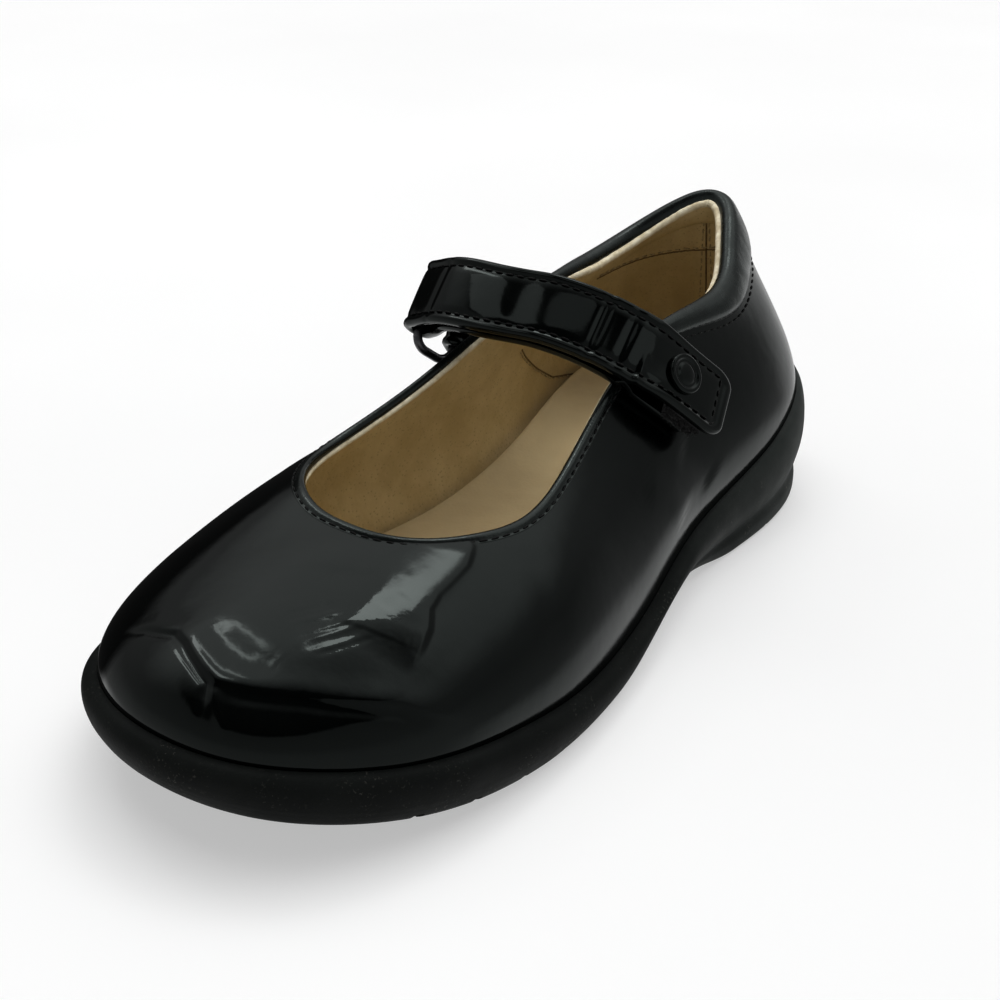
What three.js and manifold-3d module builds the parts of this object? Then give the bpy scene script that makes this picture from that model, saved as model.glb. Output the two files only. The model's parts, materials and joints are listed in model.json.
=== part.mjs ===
// Child's mary jane shoe, the left one of a pair: hollow last-shaped upper on a
// one-piece rubber sole, padded heel collar, and a strap that turns round a wire
// ring on the medial side and closes with hook-and-loop on the lateral side.
// Millimetres. Toe towards -Y, lateral (outer) side towards +X, floor at z = 0.
import * as THREE from 'three';
import { mergeVertices } from 'three/addons/utils/BufferGeometryUtils.js';
import Module from 'manifold-3d';

// ---- driving sizes ----------------------------------------------------------
const LENGTH = 200;          // feather line, back of heel to tip of toe
const BALL_WIDTH = 80;       // feather line across the ball
const COLLAR_HEIGHT = 67.5;  // floor to the top of the heel collar
const WALL = 2.0;            // leather and lining together
const GAP = 0.3;             // clearance between neighbouring pieces

const INSOLE = 3.0;          // footbed thickness
const TOE_SPRING = 11.3;     // lift of the tread under the tip of the toe
const ARCH_RISE = 5.6;       // lift of the tread under the waist
const HEEL_FRONT = 0.27;     // where the heel leaves the floor, part of LENGTH
const TREAD_BACK = 0.60;     // where the forefoot meets the floor
const TREAD_FRONT = 0.71;    // where the toe spring begins
const GROOVE_WIDTH = 2.6;
const GROOVE_DEPTH = 1.5;

const BINDING_RADIUS = 1.4;  // rolled edge round the throat
const COLLAR_HALF = 2.7;     // half the thickness of the padded roll

const STRAP_WIDTH = 16;
const STRAP_THICK = 2.0;
const TAB_CORNER = 4.5;      // rounding of the strap's free end
const WIRE = 2.0;            // ring wire diameter
const RING_LENGTH = 21.8;     // wire centre to wire centre, along the strap's width
const RING_CORNER = 3.4;     // bend of the wire at its four corners
const RING_TAB_WIDTH = 14;
const PAD_THICK = 1.1;
const BADGE_RADIUS = 4.3;
const BADGE_THICK = 1.1;
const EDGE_LIFT = 1.4;        // extra stand-off where a strap crosses the topline
const BADGE_AT = 0.88;        // place along the strap

const ROUND = 80;            // columns of facets round the shoe

// Middle of the bounding box before centring.
const CENTRE = { x: 1.52, y: -0.45 };

// ---- the last, a row per station round the feather line ---------------------
// along    distance from the heel, part of LENGTH      side  part of BALL_WIDTH
// swell    outward lean of the wall at the sole, deg    lift  pull of that lean, mm
// rimAlong, rimSide, rimHeight   the topline, parts of LENGTH, BALL_WIDTH and
//          COLLAR_HEIGHT                                pitch fall of the wall
// reach    pull of the topline's slope, mm                    at the topline, deg
// band     depth of collar or binding below the topline, mm
const LAST = table(
  ['along', 'side', 'swell', 'lift', 'rimAlong', 'rimSide', 'rimHeight', 'pitch', 'reach', 'band'], [
    [0.003, 0.010, -5, 12, 0.0550, -0.005, 1.000, 76, 10, 11.5],
    [0.030, 0.212, -8, 12, 0.0720, 0.070, 0.982, 76, 10, 11.0],
    [0.098, 0.355, -5, 13, 0.124, 0.148, 0.911, 72, 11, 9.50],
    [0.210, 0.404, 6, 15, 0.210, 0.225, 0.822, 70, 13, 6.00],
    [0.350, 0.394, 13, 16, 0.345, 0.213, 0.793, 66, 15, 2.20],
    [0.495, 0.458, 8, 14, 0.480, 0.238, 0.643, 50, 15, 1.80],
    [0.637, 0.519, 5, 12, 0.600, 0.293, 0.548, 30, 14, 1.80],
    [0.750, 0.520, 4, 11, 0.674, 0.263, 0.545, 20, 14, 1.80],
    [0.871, 0.458, 3, 11, 0.7165, 0.188, 0.553, 13, 15, 1.80],
    [0.970, 0.275, 3, 11, 0.7385, 0.095, 0.561, 10, 18, 1.80],
    [0.998, 0.025, 3, 11, 0.743, 0.000, 0.566, 8, 20, 1.80],
    [0.972, -0.220, 3, 11, 0.739, -0.095, 0.574, 10, 18, 1.80],
    [0.893, -0.413, 3, 11, 0.719, -0.188, 0.587, 13, 15, 1.80],
    [0.776, -0.488, 4, 11, 0.6785, -0.268, 0.575, 20, 14, 1.80],
    [0.659, -0.451, 7, 12, 0.613, -0.308, 0.575, 30, 14, 1.80],
    [0.509, -0.351, 14, 14, 0.495, -0.263, 0.667, 50, 15, 1.80],
    [0.360, -0.299, 18, 15, 0.355, -0.206, 0.822, 64, 14, 2.20],
    [0.220, -0.331, 12, 15, 0.215, -0.208, 0.855, 70, 13, 6.00],
    [0.100, -0.326, 3, 13, 0.118, -0.166, 0.914, 72, 11, 9.50],
    [0.030, -0.200, -4, 12, 0.071, -0.080, 0.985, 76, 10, 11.0],
  ]);

// ---- the sole, a row per station along the shoe -----------------------------
// rim   height of the sole's upper edge, mm     seat  height of the cup's floor, mm
const SOLE = table(['along', 'rim', 'seat'], [
  [0.000, 31.0, 21.0],
  [0.100, 26.6, 19.5],
  [0.210, 20.3, 17.0],
  [0.350, 13.9, 11.5],
  [0.495, 9.3, 6.8],
  [0.637, 9.0, 5.4],
  [0.750, 11.4, 7.2],
  [0.871, 15.5, 11.4],
  [0.970, 20.2, 16.2],
  [1.000, 21.5, 17.6],
]);

// ---- sidewall of the sole, from the rim down to the tread -------------------
// level  part of the height    fore, heel  distance outside the feather line, mm
const SIDEWALL = table(['level', 'fore', 'heel'], [
  [0.00, 1.2, 1.1],
  [0.07, 2.3, 1.9],
  [0.20, 3.1, 2.5],
  [0.40, 3.3, 2.6],
  [0.60, 2.9, 1.6],
  [0.75, 2.3, 0.7],
  [0.87, 1.6, 1.3],
  [0.95, 0.9, 1.2],
  [1.00, 0.0, 0.3],
]);

// ---- the strap's returning upper layer, a row per station -------------------
// side, along, height   its middle, mm      leanX, leanY, leanZ  its half width
const STRAP = table(['side', 'along', 'height', 'leanX', 'leanY', 'leanZ'], [
  [-30.1, 12.9, 58.3, -0.3, 5.7, 5.7],
  [-20.6, 10.4, 61.8, -0.6, 5.9, 5.3],
  [-9.4, 10.4, 62.4, -0.6, 6.1, 4.9],
  [2.4, 13.0, 61.9, -0.5, 6.3, 4.9],
  [14.0, 17.0, 58.6, -0.3, 6.5, 4.7],
  [24.2, 23.2, 51.9, 0.1, 6.9, 4.4],
  [33.9, 34.5, 39.5, 0.1, 7.0, 3.5],
]);

// ---- the strap's lower layer under place s of the upper one -----------------
// drop     distance between the two middles, mm   forward  shift towards the toe, mm
const LOWER = table(['s', 'drop', 'forward'], [
  [0.00, 5.2, 0.0],
  [0.06, 4.7, 0.0],
  [0.16, 3.2, 0.0],
  [0.30, 2.6, 0.0],
  [0.55, 2.5, 0.2],
  [0.70, 2.6, 0.5],
  [0.76, 2.9, 0.7],
  [0.82, 4.2, 0.9],
  [0.90, 5.6, 1.2],
  [1.01, 6.5, 1.6],
]);

// Height of the ring's lower bar on the medial quarter, part of the wall.
const RING_RISE = 0.88;

// ---- small helpers ----------------------------------------------------------
function table(columns, rows) {
  const out = {};
  columns.forEach((name, c) => {
    out[name] = rows.map((row) => row[c]);
  });
  return out;
}

function vec(x, y, z) {
  return new THREE.Vector3(x, y, z);
}

function clamp(x, lo, hi) {
  return Math.min(hi, Math.max(lo, x));
}

function smoothstep(a, b, x) {
  const t = clamp((x - a) / (b - a), 0, 1);
  return t * t * (3 - 2 * t);
}

// Closed curve with continuous curvature through evenly numbered values.
function smoothRound(values) {
  const n = values.length;
  const at = (list, i) => list[((i % n) + n) % n];
  let knots = [...values];
  for (let pass = 0; pass < 30; pass += 1) {
    const last = knots;
    knots = last.map((k, i) => k + values[i] - (at(last, i - 1) + 4 * k + at(last, i + 1)) / 6);
  }
  return (u) => {
    const i = Math.floor(u);
    const t = u - i;
    const s = 1 - t;
    return (s * s * s * at(knots, i - 1)
      + (3 * t * t * t - 6 * t * t + 4) * at(knots, i)
      + (3 * s * s * s - 6 * s * s + 4) * at(knots, i + 1)
      + t * t * t * at(knots, i + 2)) / 6;
  };
}

// Value between the rows of an open table, with smooth slopes.
function alongTable(keys, values, x) {
  const last = keys.length - 1;
  const k = clamp(x, keys[0], keys[last]);
  let i = 0;
  while (i < last - 1 && k > keys[i + 1]) i += 1;
  const slope = (a, b) => (values[b] - values[a]) / (keys[b] - keys[a]);
  const h = keys[i + 1] - keys[i];
  const t = (k - keys[i]) / h;
  const m0 = slope(Math.max(0, i - 1), i + 1) * h;
  const m1 = slope(i, Math.min(last, i + 2)) * h;
  const t2 = t * t;
  const t3 = t2 * t;
  return (2 * t3 - 3 * t2 + 1) * values[i] + (t3 - 2 * t2 + t) * m0
    + (3 * t2 - 2 * t3) * values[i + 1] + (t3 - t2) * m1;
}

// ---- the last's own functions -----------------------------------------------
const STATIONS = LAST.along.length;
const last = {};
Object.keys(LAST).forEach((name) => {
  last[name] = smoothRound(LAST[name]);
});

const yAt = (along) => LENGTH / 2 - along * LENGTH;
const alongAt = (y) => (LENGTH / 2 - y) / LENGTH;
const rimHeight = (y) => alongTable(SOLE.along, SOLE.rim, alongAt(y));
const seatHeight = (y) => alongTable(SOLE.along, SOLE.seat, alongAt(y));

// Height of the tread: flat under heel and ball, arched between, rising at the toe.
function treadHeight(y) {
  const a = alongAt(y);
  const arch = smoothstep(HEEL_FRONT, 0.43, a) * (1 - smoothstep(0.46, TREAD_BACK, a));
  const toe = clamp((a - TREAD_FRONT) / (1 - TREAD_FRONT), 0, 1.1);
  const back = clamp((0.04 - a) / 0.04, 0, 1.3);
  return ARCH_RISE * arch + TOE_SPRING * toe ** 1.55 + 1.3 * back * back;
}

function featherPoint(u) {
  const y = yAt(last.along(u));
  return vec(last.side(u) * BALL_WIDTH, y, rimHeight(y));
}

function toplinePoint(u) {
  return vec(last.rimSide(u) * BALL_WIDTH, yAt(last.rimAlong(u)), last.rimHeight(u) * COLLAR_HEIGHT);
}

// Level direction pointing away from the shoe, square to a closed curve.
function outward(curve, u) {
  const d = curve(u + 0.02).sub(curve(u - 0.02));
  return vec(-d.y, d.x, 0).normalize();
}

// One wall of the last: from the sole (t = 0) to the topline (t = 1); below the
// sole's edge (t < 0) it runs straight on down into the cup.
function wallPoint(u, t) {
  const foot = featherPoint(u);
  const swell = THREE.MathUtils.degToRad(last.swell(u));
  const up = outward(featherPoint, u).multiplyScalar(Math.sin(swell)).add(vec(0, 0, Math.cos(swell)));
  const lift = last.lift(u);
  if (t < 0) return foot.addScaledVector(up, 3 * lift * t);
  const rim = toplinePoint(u);
  const pitch = THREE.MathUtils.degToRad(last.pitch(u));
  const fall = outward(toplinePoint, u).multiplyScalar(Math.cos(pitch)).add(vec(0, 0, -Math.sin(pitch)));
  const p1 = foot.clone().addScaledVector(up, lift);
  const p2 = rim.clone().addScaledVector(fall, last.reach(u));
  const s = 1 - t;
  return foot.multiplyScalar(s * s * s)
    .addScaledVector(p1, 3 * s * s * t)
    .addScaledVector(p2, 3 * s * t * t)
    .addScaledVector(rim, t * t * t);
}

function wallNormal(u, t) {
  const e = 0.01;
  const round = wallPoint(u + e, t).sub(wallPoint(u - e, t));
  const rise = wallPoint(u, Math.min(1, t + e)).sub(wallPoint(u, t - e));
  return rise.cross(round).normalize();
}

// Point of the wall moved out (+) or in (-) from the last's surface.
function skin(u, t, offset) {
  return wallPoint(u, t).addScaledVector(wallNormal(u, t), offset);
}

// Point of the wall inside the cup at a wanted height.
function skirt(u, height, offset) {
  const slope = skin(u, -0.02, offset).sub(skin(u, -0.12, offset));
  const start = skin(u, -0.02, offset);
  return start.addScaledVector(slope, (height - start.z) / slope.z);
}

function seatPoint(u, above, offset) {
  const first = skirt(u, seatHeight(featherPoint(u).y) + above, offset);
  return skirt(u, seatHeight(first.y) + above, offset);
}

// Wall parameter a given distance below the topline, measured along the wall.
function belowTopline(u, depth) {
  let t = 1;
  let left = depth;
  let here = wallPoint(u, 1);
  while (left > 0 && t > 0.05) {
    const next = wallPoint(u, t - 0.005);
    left -= next.distanceTo(here);
    here = next;
    t -= 0.005;
  }
  return t - 0.005 * Math.min(0, left);
}

// ---- mesh builders ----------------------------------------------------------
function columns(count = ROUND) {
  return Array.from({ length: count }, (_, i) => (i * STATIONS) / count);
}

function ringOf(fn) {
  return columns().map(fn);
}

// Facets between neighbouring closed rings of equal count.
function facets(rings, closed) {
  const n = rings[0].length;
  const index = [];
  const rows = closed ? rings.length : rings.length - 1;
  for (let r = 0; r < rows; r += 1) {
    const a = r * n;
    const b = ((r + 1) % rings.length) * n;
    for (let i = 0; i < n; i += 1) {
      const j = (i + 1) % n;
      index.push(a + i, a + j, b + j, a + i, b + j, b + i);
    }
  }
  return index;
}

function geometryOf(points, index) {
  const geometry = new THREE.BufferGeometry();
  geometry.setAttribute('position', new THREE.Float32BufferAttribute(points.flatMap((p) => [p.x, p.y, p.z]), 3));
  geometry.setIndex(index);
  return outsideOut(geometry);
}

// Turns the facets over if they enclose a negative volume.
function outsideOut(geometry) {
  const p = geometry.attributes.position;
  const ix = geometry.index.array;
  const corner = (k) => vec(p.getX(ix[k]), p.getY(ix[k]), p.getZ(ix[k]));
  let volume = 0;
  for (let k = 0; k < ix.length; k += 3) {
    volume += corner(k).dot(corner(k + 1).cross(corner(k + 2)));
  }
  if (volume < 0) {
    for (let k = 0; k < ix.length; k += 3) {
      [ix[k + 1], ix[k + 2]] = [ix[k + 2], ix[k + 1]];
    }
  }
  return geometry;
}

// Ring-shaped solid: the last ring joins the first.
function hoop(rings) {
  return geometryOf(rings.flat(), facets(rings, true));
}

// Facets across a long closed ring, zipped from its heel end to its toe end.
function zip(ring) {
  const n = ring.length;
  const ys = ring.map((p) => p.y);
  const heel = ys.indexOf(Math.max(...ys));
  const toe = ys.indexOf(Math.min(...ys));
  const out = [];
  let a = heel;
  let b = heel;
  while (a !== toe || b !== toe) {
    const nextA = (a + 1) % n;
    const nextB = (b + n - 1) % n;
    const moveA = b === toe || (a !== toe && ys[nextA] > ys[nextB]);
    const tip = moveA ? nextA : nextB;
    if (a !== b && tip !== a && tip !== b) out.push([a, tip, b]);
    if (moveA) a = nextA;
    else b = nextB;
  }
  return out;
}

// Solid of stacked rings, closed across its first and its last one.
function stack(rings) {
  const n = rings[0].length;
  const index = facets(rings, false);
  zip(rings[0]).forEach(([a, b, c]) => index.push(a, c, b));
  const base = (rings.length - 1) * n;
  zip(rings.at(-1)).forEach(([a, b, c]) => index.push(base + a, base + b, base + c));
  return geometryOf(rings.flat(), index);
}

// Bar-shaped solid through a list of closed sections, ended with fans.
function bar(sections) {
  const n = sections[0].length;
  const points = sections.flat();
  const index = facets(sections, false);
  const fan = (section, base, flip) => {
    const middle = section.reduce((sum, p) => sum.add(p), vec(0, 0, 0)).divideScalar(n);
    const m = points.push(middle) - 1;
    for (let i = 0; i < n; i += 1) {
      const j = (i + 1) % n;
      index.push(m, base + (flip ? j : i), base + (flip ? i : j));
    }
  };
  fan(sections[0], 0, true);
  fan(sections.at(-1), (sections.length - 1) * n, false);
  return geometryOf(points, index);
}

// Rings shrinking towards the shoe's long middle line, to close a sole or a seat.
function towardsSpine(ring, heightAt, parts) {
  return parts.map((part) => ring.map((p) => {
    const y = clamp(p.y * 0.93, -LENGTH * 0.36, LENGTH * 0.36);
    const x = 2.5 * Math.sin((y / LENGTH) * Math.PI * 1.2) + 1.2;
    const q = vec(p.x + (x - p.x) * part, p.y + (y - p.y) * part, 0);
    q.z = heightAt(q.y);
    return q;
  }));
}

const wasm = await Module();
wasm.setup();

function toManifold(geometry) {
  const g = geometry.clone();
  g.deleteAttribute('normal');
  g.deleteAttribute('uv');
  const m = mergeVertices(g, 1e-4);
  return new wasm.Manifold(new wasm.Mesh({
    numProp: 3,
    vertProperties: new Float32Array(m.attributes.position.array),
    triVerts: new Uint32Array(m.index.array),
  }));
}

function fromManifold(solid) {
  const m = solid.getMesh();
  const g = new THREE.BufferGeometry();
  g.setAttribute('position', new THREE.BufferAttribute(new Float32Array(m.vertProperties), 3));
  g.setIndex(Array.from(m.triVerts));
  return g;
}

// ---- outsole ----------------------------------------------------------------
const SEAT_PARTS = [0.86, 0.5, 0.22];

function sidewallPoint(u, level, out) {
  const foot = featherPoint(u);
  const p = foot.clone().addScaledVector(outward(featherPoint, u), out);
  const bottom = treadHeight(p.y);
  p.z = foot.z + (bottom - foot.z) * level;
  return p;
}

function sidewallRing(row) {
  return ringOf((u) => {
    const heel = 1 - smoothstep(0.27, 0.43, last.along(u));
    const out = SIDEWALL.fore[row] + (SIDEWALL.heel[row] - SIDEWALL.fore[row]) * heel;
    return sidewallPoint(u, SIDEWALL.level[row], out);
  });
}

function treadGrooves() {
  const stations = [0.06, 0.13, 0.20, 0.64, 0.70, 0.76, 0.82, 0.88];
  return stations.map((along) => {
    const y = yAt(along);
    const slope = Math.atan2(treadHeight(y + 2) - treadHeight(y - 2), 4);
    const groove = new THREE.BoxGeometry(120, GROOVE_WIDTH, 2 * GROOVE_DEPTH);
    groove.rotateX(slope);
    groove.translate(0, y, treadHeight(y));
    return groove;
  });
}

function makeOutsole() {
  const floor = ringOf((u) => seatPoint(u, 0, GAP));
  const lip = ringOf((u) => skirt(u, featherPoint(u).z, GAP));
  const side = SIDEWALL.level.map((_, row) => sidewallRing(row));
  const tread = towardsSpine(side.at(-1), treadHeight, [0.12, 0.5, 0.86]);
  const cup = towardsSpine(floor, seatHeight, SEAT_PARTS);
  const body = toManifold(stack([...cup, floor, lip, ...side, ...tread]));
  const carved = treadGrooves().reduce((solid, groove) => solid.subtract(toManifold(groove)), body);
  return fromManifold(carved);
}

// ---- insole -----------------------------------------------------------------
// Follows the facets of the cup's floor at a constant clearance.
function makeInsole() {
  const floor = ringOf((u) => seatPoint(u, 0, GAP));
  const seat = towardsSpine(floor, seatHeight, SEAT_PARTS);
  const raised = (ring, height) => ring.map((p) => vec(p.x, p.y, p.z + height));
  const outline = (inset) => ringOf((u) => seatPoint(u, GAP, -WALL - GAP - inset)).map((p, i) => {
    const inner = seat.at(-1)[i].clone().sub(floor[i]);
    const part = (inner.x * (p.x - floor[i].x) + inner.y * (p.y - floor[i].y)) / (inner.x ** 2 + inner.y ** 2);
    return vec(p.x, p.y, floor[i].z + inner.z * part);
  });
  const rest = GAP + 0.15;
  const edge = outline(0.3);
  const crown = outline(1.1);
  return stack([
    ...seat.map((ring) => raised(ring, rest)),
    raised(edge, rest),
    raised(edge, rest + INSOLE - 0.8),
    raised(crown, rest + INSOLE),
    ...seat.slice(0, 2).reverse().map((ring) => raised(ring, rest + INSOLE)),
  ]);
}

// ---- upper ------------------------------------------------------------------
const WALL_STEPS = [0.10, 0.20, 0.31, 0.43, 0.55, 0.68, 0.82, 1.0];

function makeUpper() {
  const top = (u) => belowTopline(u, last.band(u) + GAP + 0.12);
  const face = (offset) => [
    ringOf((u) => seatPoint(u, GAP, offset)),
    ringOf((u) => skin(u, 0, offset)),
    ...WALL_STEPS.map((part) => ringOf((u) => skin(u, part * top(u), offset))),
  ];
  return hoop([...face(0), ...face(-WALL).reverse()]);
}

// ---- collar and binding -----------------------------------------------------
const COLLAR_FROM = 15.95;   // station of the medial end
const COLLAR_TO = 24.05;     // station of the lateral end

// Rounded roll standing on the upper's edge: a closed section round its middle.
function rollSection(u, half, drop) {
  const outer = [];
  const inner = [];
  const middle = -WALL / 2 - 0.35 * (half - BINDING_RADIUS);
  const steps = [1, 0.72, 0.42, 0.16];
  steps.forEach((part) => {
    const t = belowTopline(u, drop * part);
    const plump = half * Math.sqrt(Math.sin(Math.PI * (0.16 + 0.62 * (1 - Math.abs(part - 0.35)))));
    outer.push(skin(u, t, middle + plump));
    inner.push(skin(u, t, middle - plump));
  });
  const crest = skin(u, 1, middle);
  const rise = wallPoint(u, 1).sub(wallPoint(u, 0.97)).normalize();
  crest.addScaledVector(rise, half * 0.55);
  return [...outer, crest, ...inner.reverse()];
}

function makeCollar() {
  const count = 46;
  const sections = Array.from({ length: count + 1 }, (_, i) => {
    const u = COLLAR_FROM + ((COLLAR_TO - COLLAR_FROM) * i) / count;
    const half = BINDING_RADIUS + (COLLAR_HALF - BINDING_RADIUS) * smoothstep(2, 9, last.band(u));
    return rollSection(u, half, last.band(u));
  });
  return bar(sections);
}

function makeBinding() {
  const from = COLLAR_TO - STATIONS + 0.05;
  const to = COLLAR_FROM - 0.05;
  const count = 54;
  const sections = Array.from({ length: count + 1 }, (_, i) => {
    const u = from + ((to - from) * i) / count;
    return rollSection(u, BINDING_RADIUS, last.band(u));
  });
  return bar(sections);
}

// ---- strap ------------------------------------------------------------------
function strapCurves() {
  const middle = STRAP.side.map((x, i) => vec(x, STRAP.along[i], STRAP.height[i]));
  const lean = STRAP.leanX.map((x, i) => vec(x, STRAP.leanY[i], STRAP.leanZ[i]).normalize());
  return {
    middle: new THREE.CatmullRomCurve3(middle, false, 'centripetal'),
    lean: new THREE.CatmullRomCurve3(lean, false, 'centripetal'),
  };
}
const strapLine = strapCurves();

// A frame is a middle point, a direction across the width and one out from the foot.
function strapFrame(s) {
  const middle = strapLine.middle.getPoint(s);
  const run = strapLine.middle.getTangent(s);
  const across = strapLine.lean.getPoint(s);
  across.addScaledVector(run, -across.dot(run)).normalize();
  const out = run.clone().cross(across).normalize();
  return { middle, run, across, out };
}

// Nearest place on the wall's outer face to a point, with the normal there.
function nearestSkin(point, from, to) {
  let best = { distance: Infinity };
  const tryAt = (u, t) => {
    const place = wallPoint(u, t);
    const distance = place.distanceTo(point);
    if (distance < best.distance) best = { u, t, place, distance };
  };
  for (let u = from; u <= to; u += 0.25) {
    for (let t = 0.3; t <= 1.0001; t += 0.05) tryAt(u, Math.min(1, t));
  }
  for (let step = 0.12; step > 0.002; step *= 0.6) {
    const { u, t } = best;
    [-1, 0, 1].forEach((i) => [-1, 0, 1].forEach((j) => {
      tryAt(u + i * step, clamp(t + j * step * 0.3, 0.2, 1));
    }));
  }
  return { ...best, normal: wallNormal(best.u, Math.min(best.t, 0.98)) };
}

// Section of a strap: width across, thickness out. A frame that lies on the
// wall (lie = 1) is draped over it, its middle layer standing that far off.
function strapSection(frame, width, thick) {
  const { middle, across, out, lie = 0, stand = 0, edge = EDGE_LIFT, side = 1 } = frame;
  const { from = 2.5, to = 6.5 } = frame;
  const places = [-1, -0.36, 0.36, 1].map((part) => {
    const place = middle.clone().addScaledVector(across, (part * width) / 2);
    const facing = out.clone();
    if (lie > 0) {
      const near = nearestSkin(place, from, to);
      const lift = stand + edge * smoothstep(0.9, 0.99, near.t);
      const now = place.clone().sub(near.place).dot(near.normal);
      place.addScaledVector(near.normal, (lift - now) * (now < lift ? 1 : lie));
      facing.lerp(near.normal.multiplyScalar(side), lie).normalize();
    }
    return { place, facing };
  });
  const face = (half) => places.map(({ place, facing }) => place.clone().addScaledVector(facing, half));
  return [...face(-thick / 2), ...face(thick / 2).reverse()];
}

function moved(frame, across, out) {
  const middle = frame.middle.clone().addScaledVector(frame.across, across).addScaledVector(frame.out, out);
  return { ...frame, middle };
}

const FOLD_RADIUS = WIRE / 2 + GAP + STRAP_THICK / 2 + 0.35;
const FOLD_STEPS = 10;

// Half turn of the strap round the ring's upper bar, from the lower layer up.
function foldFrames() {
  const start = strapFrame(0);
  const axis = moved(start, 0, -FOLD_RADIUS).middle;
  return Array.from({ length: FOLD_STEPS + 1 }, (_, k) => {
    const a = (Math.PI * k) / FOLD_STEPS;
    const out = start.out.clone().multiplyScalar(-Math.cos(a)).addScaledVector(start.run, -Math.sin(a));
    return { middle: axis.clone().addScaledVector(out, FOLD_RADIUS), across: start.across.clone(), out };
  });
}

// How far the middles of the fastened layers stand off the lateral quarter.
const LAYER = { lower: 1.5, loop: 3.45, hook: 4.9, upper: 6.75 };

function upperFrame(s) {
  const settle = smoothstep(0.78, 0.87, s);
  return { ...strapFrame(s), lie: settle, stand: LAYER.upper - 1.4 * (1 - settle), edge: 0 };
}

// Frame of the lower layer under place s of the upper one, facing the same way;
// towards its end it comes down onto the lateral quarter.
function lowerFrame(s, stand = LAYER.lower) {
  const upper = strapFrame(s);
  const drop = alongTable(LOWER.s, LOWER.drop, s);
  const frame = moved(upper, -alongTable(LOWER.s, LOWER.forward, s), stand - LAYER.lower - drop);
  frame.lie = smoothstep(0.76, 0.88, s);
  frame.stand = stand;
  return frame;
}

function makeStrap() {
  const lower = Array.from({ length: 18 }, (_, k) => lowerFrame(0.04 + 0.0531 * (17 - k)));
  lower.forEach((frame) => {
    frame.out.multiplyScalar(-1);
    frame.side = -1;
  });
  const upper = Array.from({ length: 21 }, (_, k) => upperFrame((k + 1) / 23));
  const sections = [...lower, ...foldFrames(), ...upper].map((f) => strapSection(f, STRAP_WIDTH, STRAP_THICK));
  return bar([...sections, ...tabEnd()]);
}

// The free end narrows in two rounded corners.
function tabEnd() {
  const length = strapLine.middle.getLength();
  const first = 1 - TAB_CORNER / length;
  return Array.from({ length: 7 }, (_, k) => {
    const a = (Math.PI / 2) * (k / 6);
    const s = first + (1 - first) * Math.sin(a) * 0.995;
    const width = STRAP_WIDTH - 2 * TAB_CORNER * (1 - Math.cos(a));
    return strapSection(upperFrame(s), width, STRAP_THICK);
  });
}

// ---- ring and its leather tab -----------------------------------------------
const RING_TAB_THICK = 1.6;
const RING_TAB_LENGTH = 15;
const RING_STAND = GAP + RING_TAB_THICK + GAP + WIRE / 2 + 2.2;

// The ring hangs square from the fold and stands on the medial quarter.
function ringPlace() {
  const upper = moved(strapFrame(0), 0, -FOLD_RADIUS);
  const lowerAt = (u) => skin(u, RING_RISE, RING_STAND);
  const skew = (u) => lowerAt(u).sub(upper.middle).dot(upper.across);
  let [a, b] = [14.5, 16.5];
  while (b - a > 1e-4) {
    const u = (a + b) / 2;
    if (skew(u) > 0) b = u;
    else a = u;
  }
  const lower = lowerAt(a);
  const down = lower.clone().sub(upper.middle);
  const height = down.length();
  return { upper: upper.middle, lower, down: down.normalize(), across: upper.across, height };
}

function makeRing() {
  const { upper, lower, down, across, height } = ringPlace();
  const centre = upper.clone().lerp(lower, 0.5);
  const a = RING_LENGTH / 2 - RING_CORNER;
  const b = height / 2 - RING_CORNER;
  const corners = [[a, b, 0], [-a, b, 90], [-a, -b, 180], [a, -b, 270]];
  const wireMiddle = corners.flatMap(([x, y, from]) => Array.from({ length: 6 }, (_, k) => {
    const angle = THREE.MathUtils.degToRad(from + 18 * k);
    return centre.clone()
      .addScaledVector(across, x + RING_CORNER * Math.cos(angle))
      .addScaledVector(down, -y - RING_CORNER * Math.sin(angle));
  }));
  const plane = across.clone().cross(down).normalize();
  const sides = 8;
  return hoop(wireMiddle.map((p, i) => {
    const before = wireMiddle.at(i - 1);
    const after = wireMiddle[(i + 1) % wireMiddle.length];
    const side = after.clone().sub(before).cross(plane).normalize();
    return Array.from({ length: sides }, (_, k) => {
      const angle = (2 * Math.PI * k) / sides;
      return p.clone()
        .addScaledVector(side, (WIRE / 2) * Math.cos(angle))
        .addScaledVector(plane, (WIRE / 2) * Math.sin(angle));
    });
  }));
}

// Leather loop round the ring's lower bar, both ends lying on the quarter.
function ringTabFrames() {
  const { lower, across } = ringPlace();
  const radius = WIRE / 2 + GAP + RING_TAB_THICK / 2 + 0.1;
  const foot = nearestSkin(lower, 13.5, 17.5);
  const out = foot.normal.clone().addScaledVector(across, -foot.normal.dot(across)).normalize();
  const fall = across.clone().cross(out).normalize();
  if (fall.z > 0) fall.multiplyScalar(-1);
  const layer = (part, side) => ({
    middle: lower.clone().addScaledVector(fall, RING_TAB_LENGTH * part).addScaledVector(out, side * radius),
    across: across.clone(),
    out: out.clone().multiplyScalar(side),
    lie: smoothstep(0, 0.55, part),
    stand: GAP + 0.15 + RING_TAB_THICK / 2 + (side > 0 ? RING_TAB_THICK + 0.25 : 0),
    side,
    from: 13.5,
    to: 17.5,
  });
  const turn = Array.from({ length: 9 }, (_, k) => {
    const a = Math.PI * (k / 8);
    const away = out.clone().multiplyScalar(-Math.cos(a)).addScaledVector(fall, -Math.sin(a));
    return { middle: lower.clone().addScaledVector(away, radius), across: across.clone(), out: away };
  });
  const parts = [0.12, 0.25, 0.4, 0.55, 0.7, 0.85, 1];
  return [...parts.map((p) => layer(p, -1)).reverse(), ...turn, ...parts.map((p) => layer(p, 1))];
}

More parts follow.
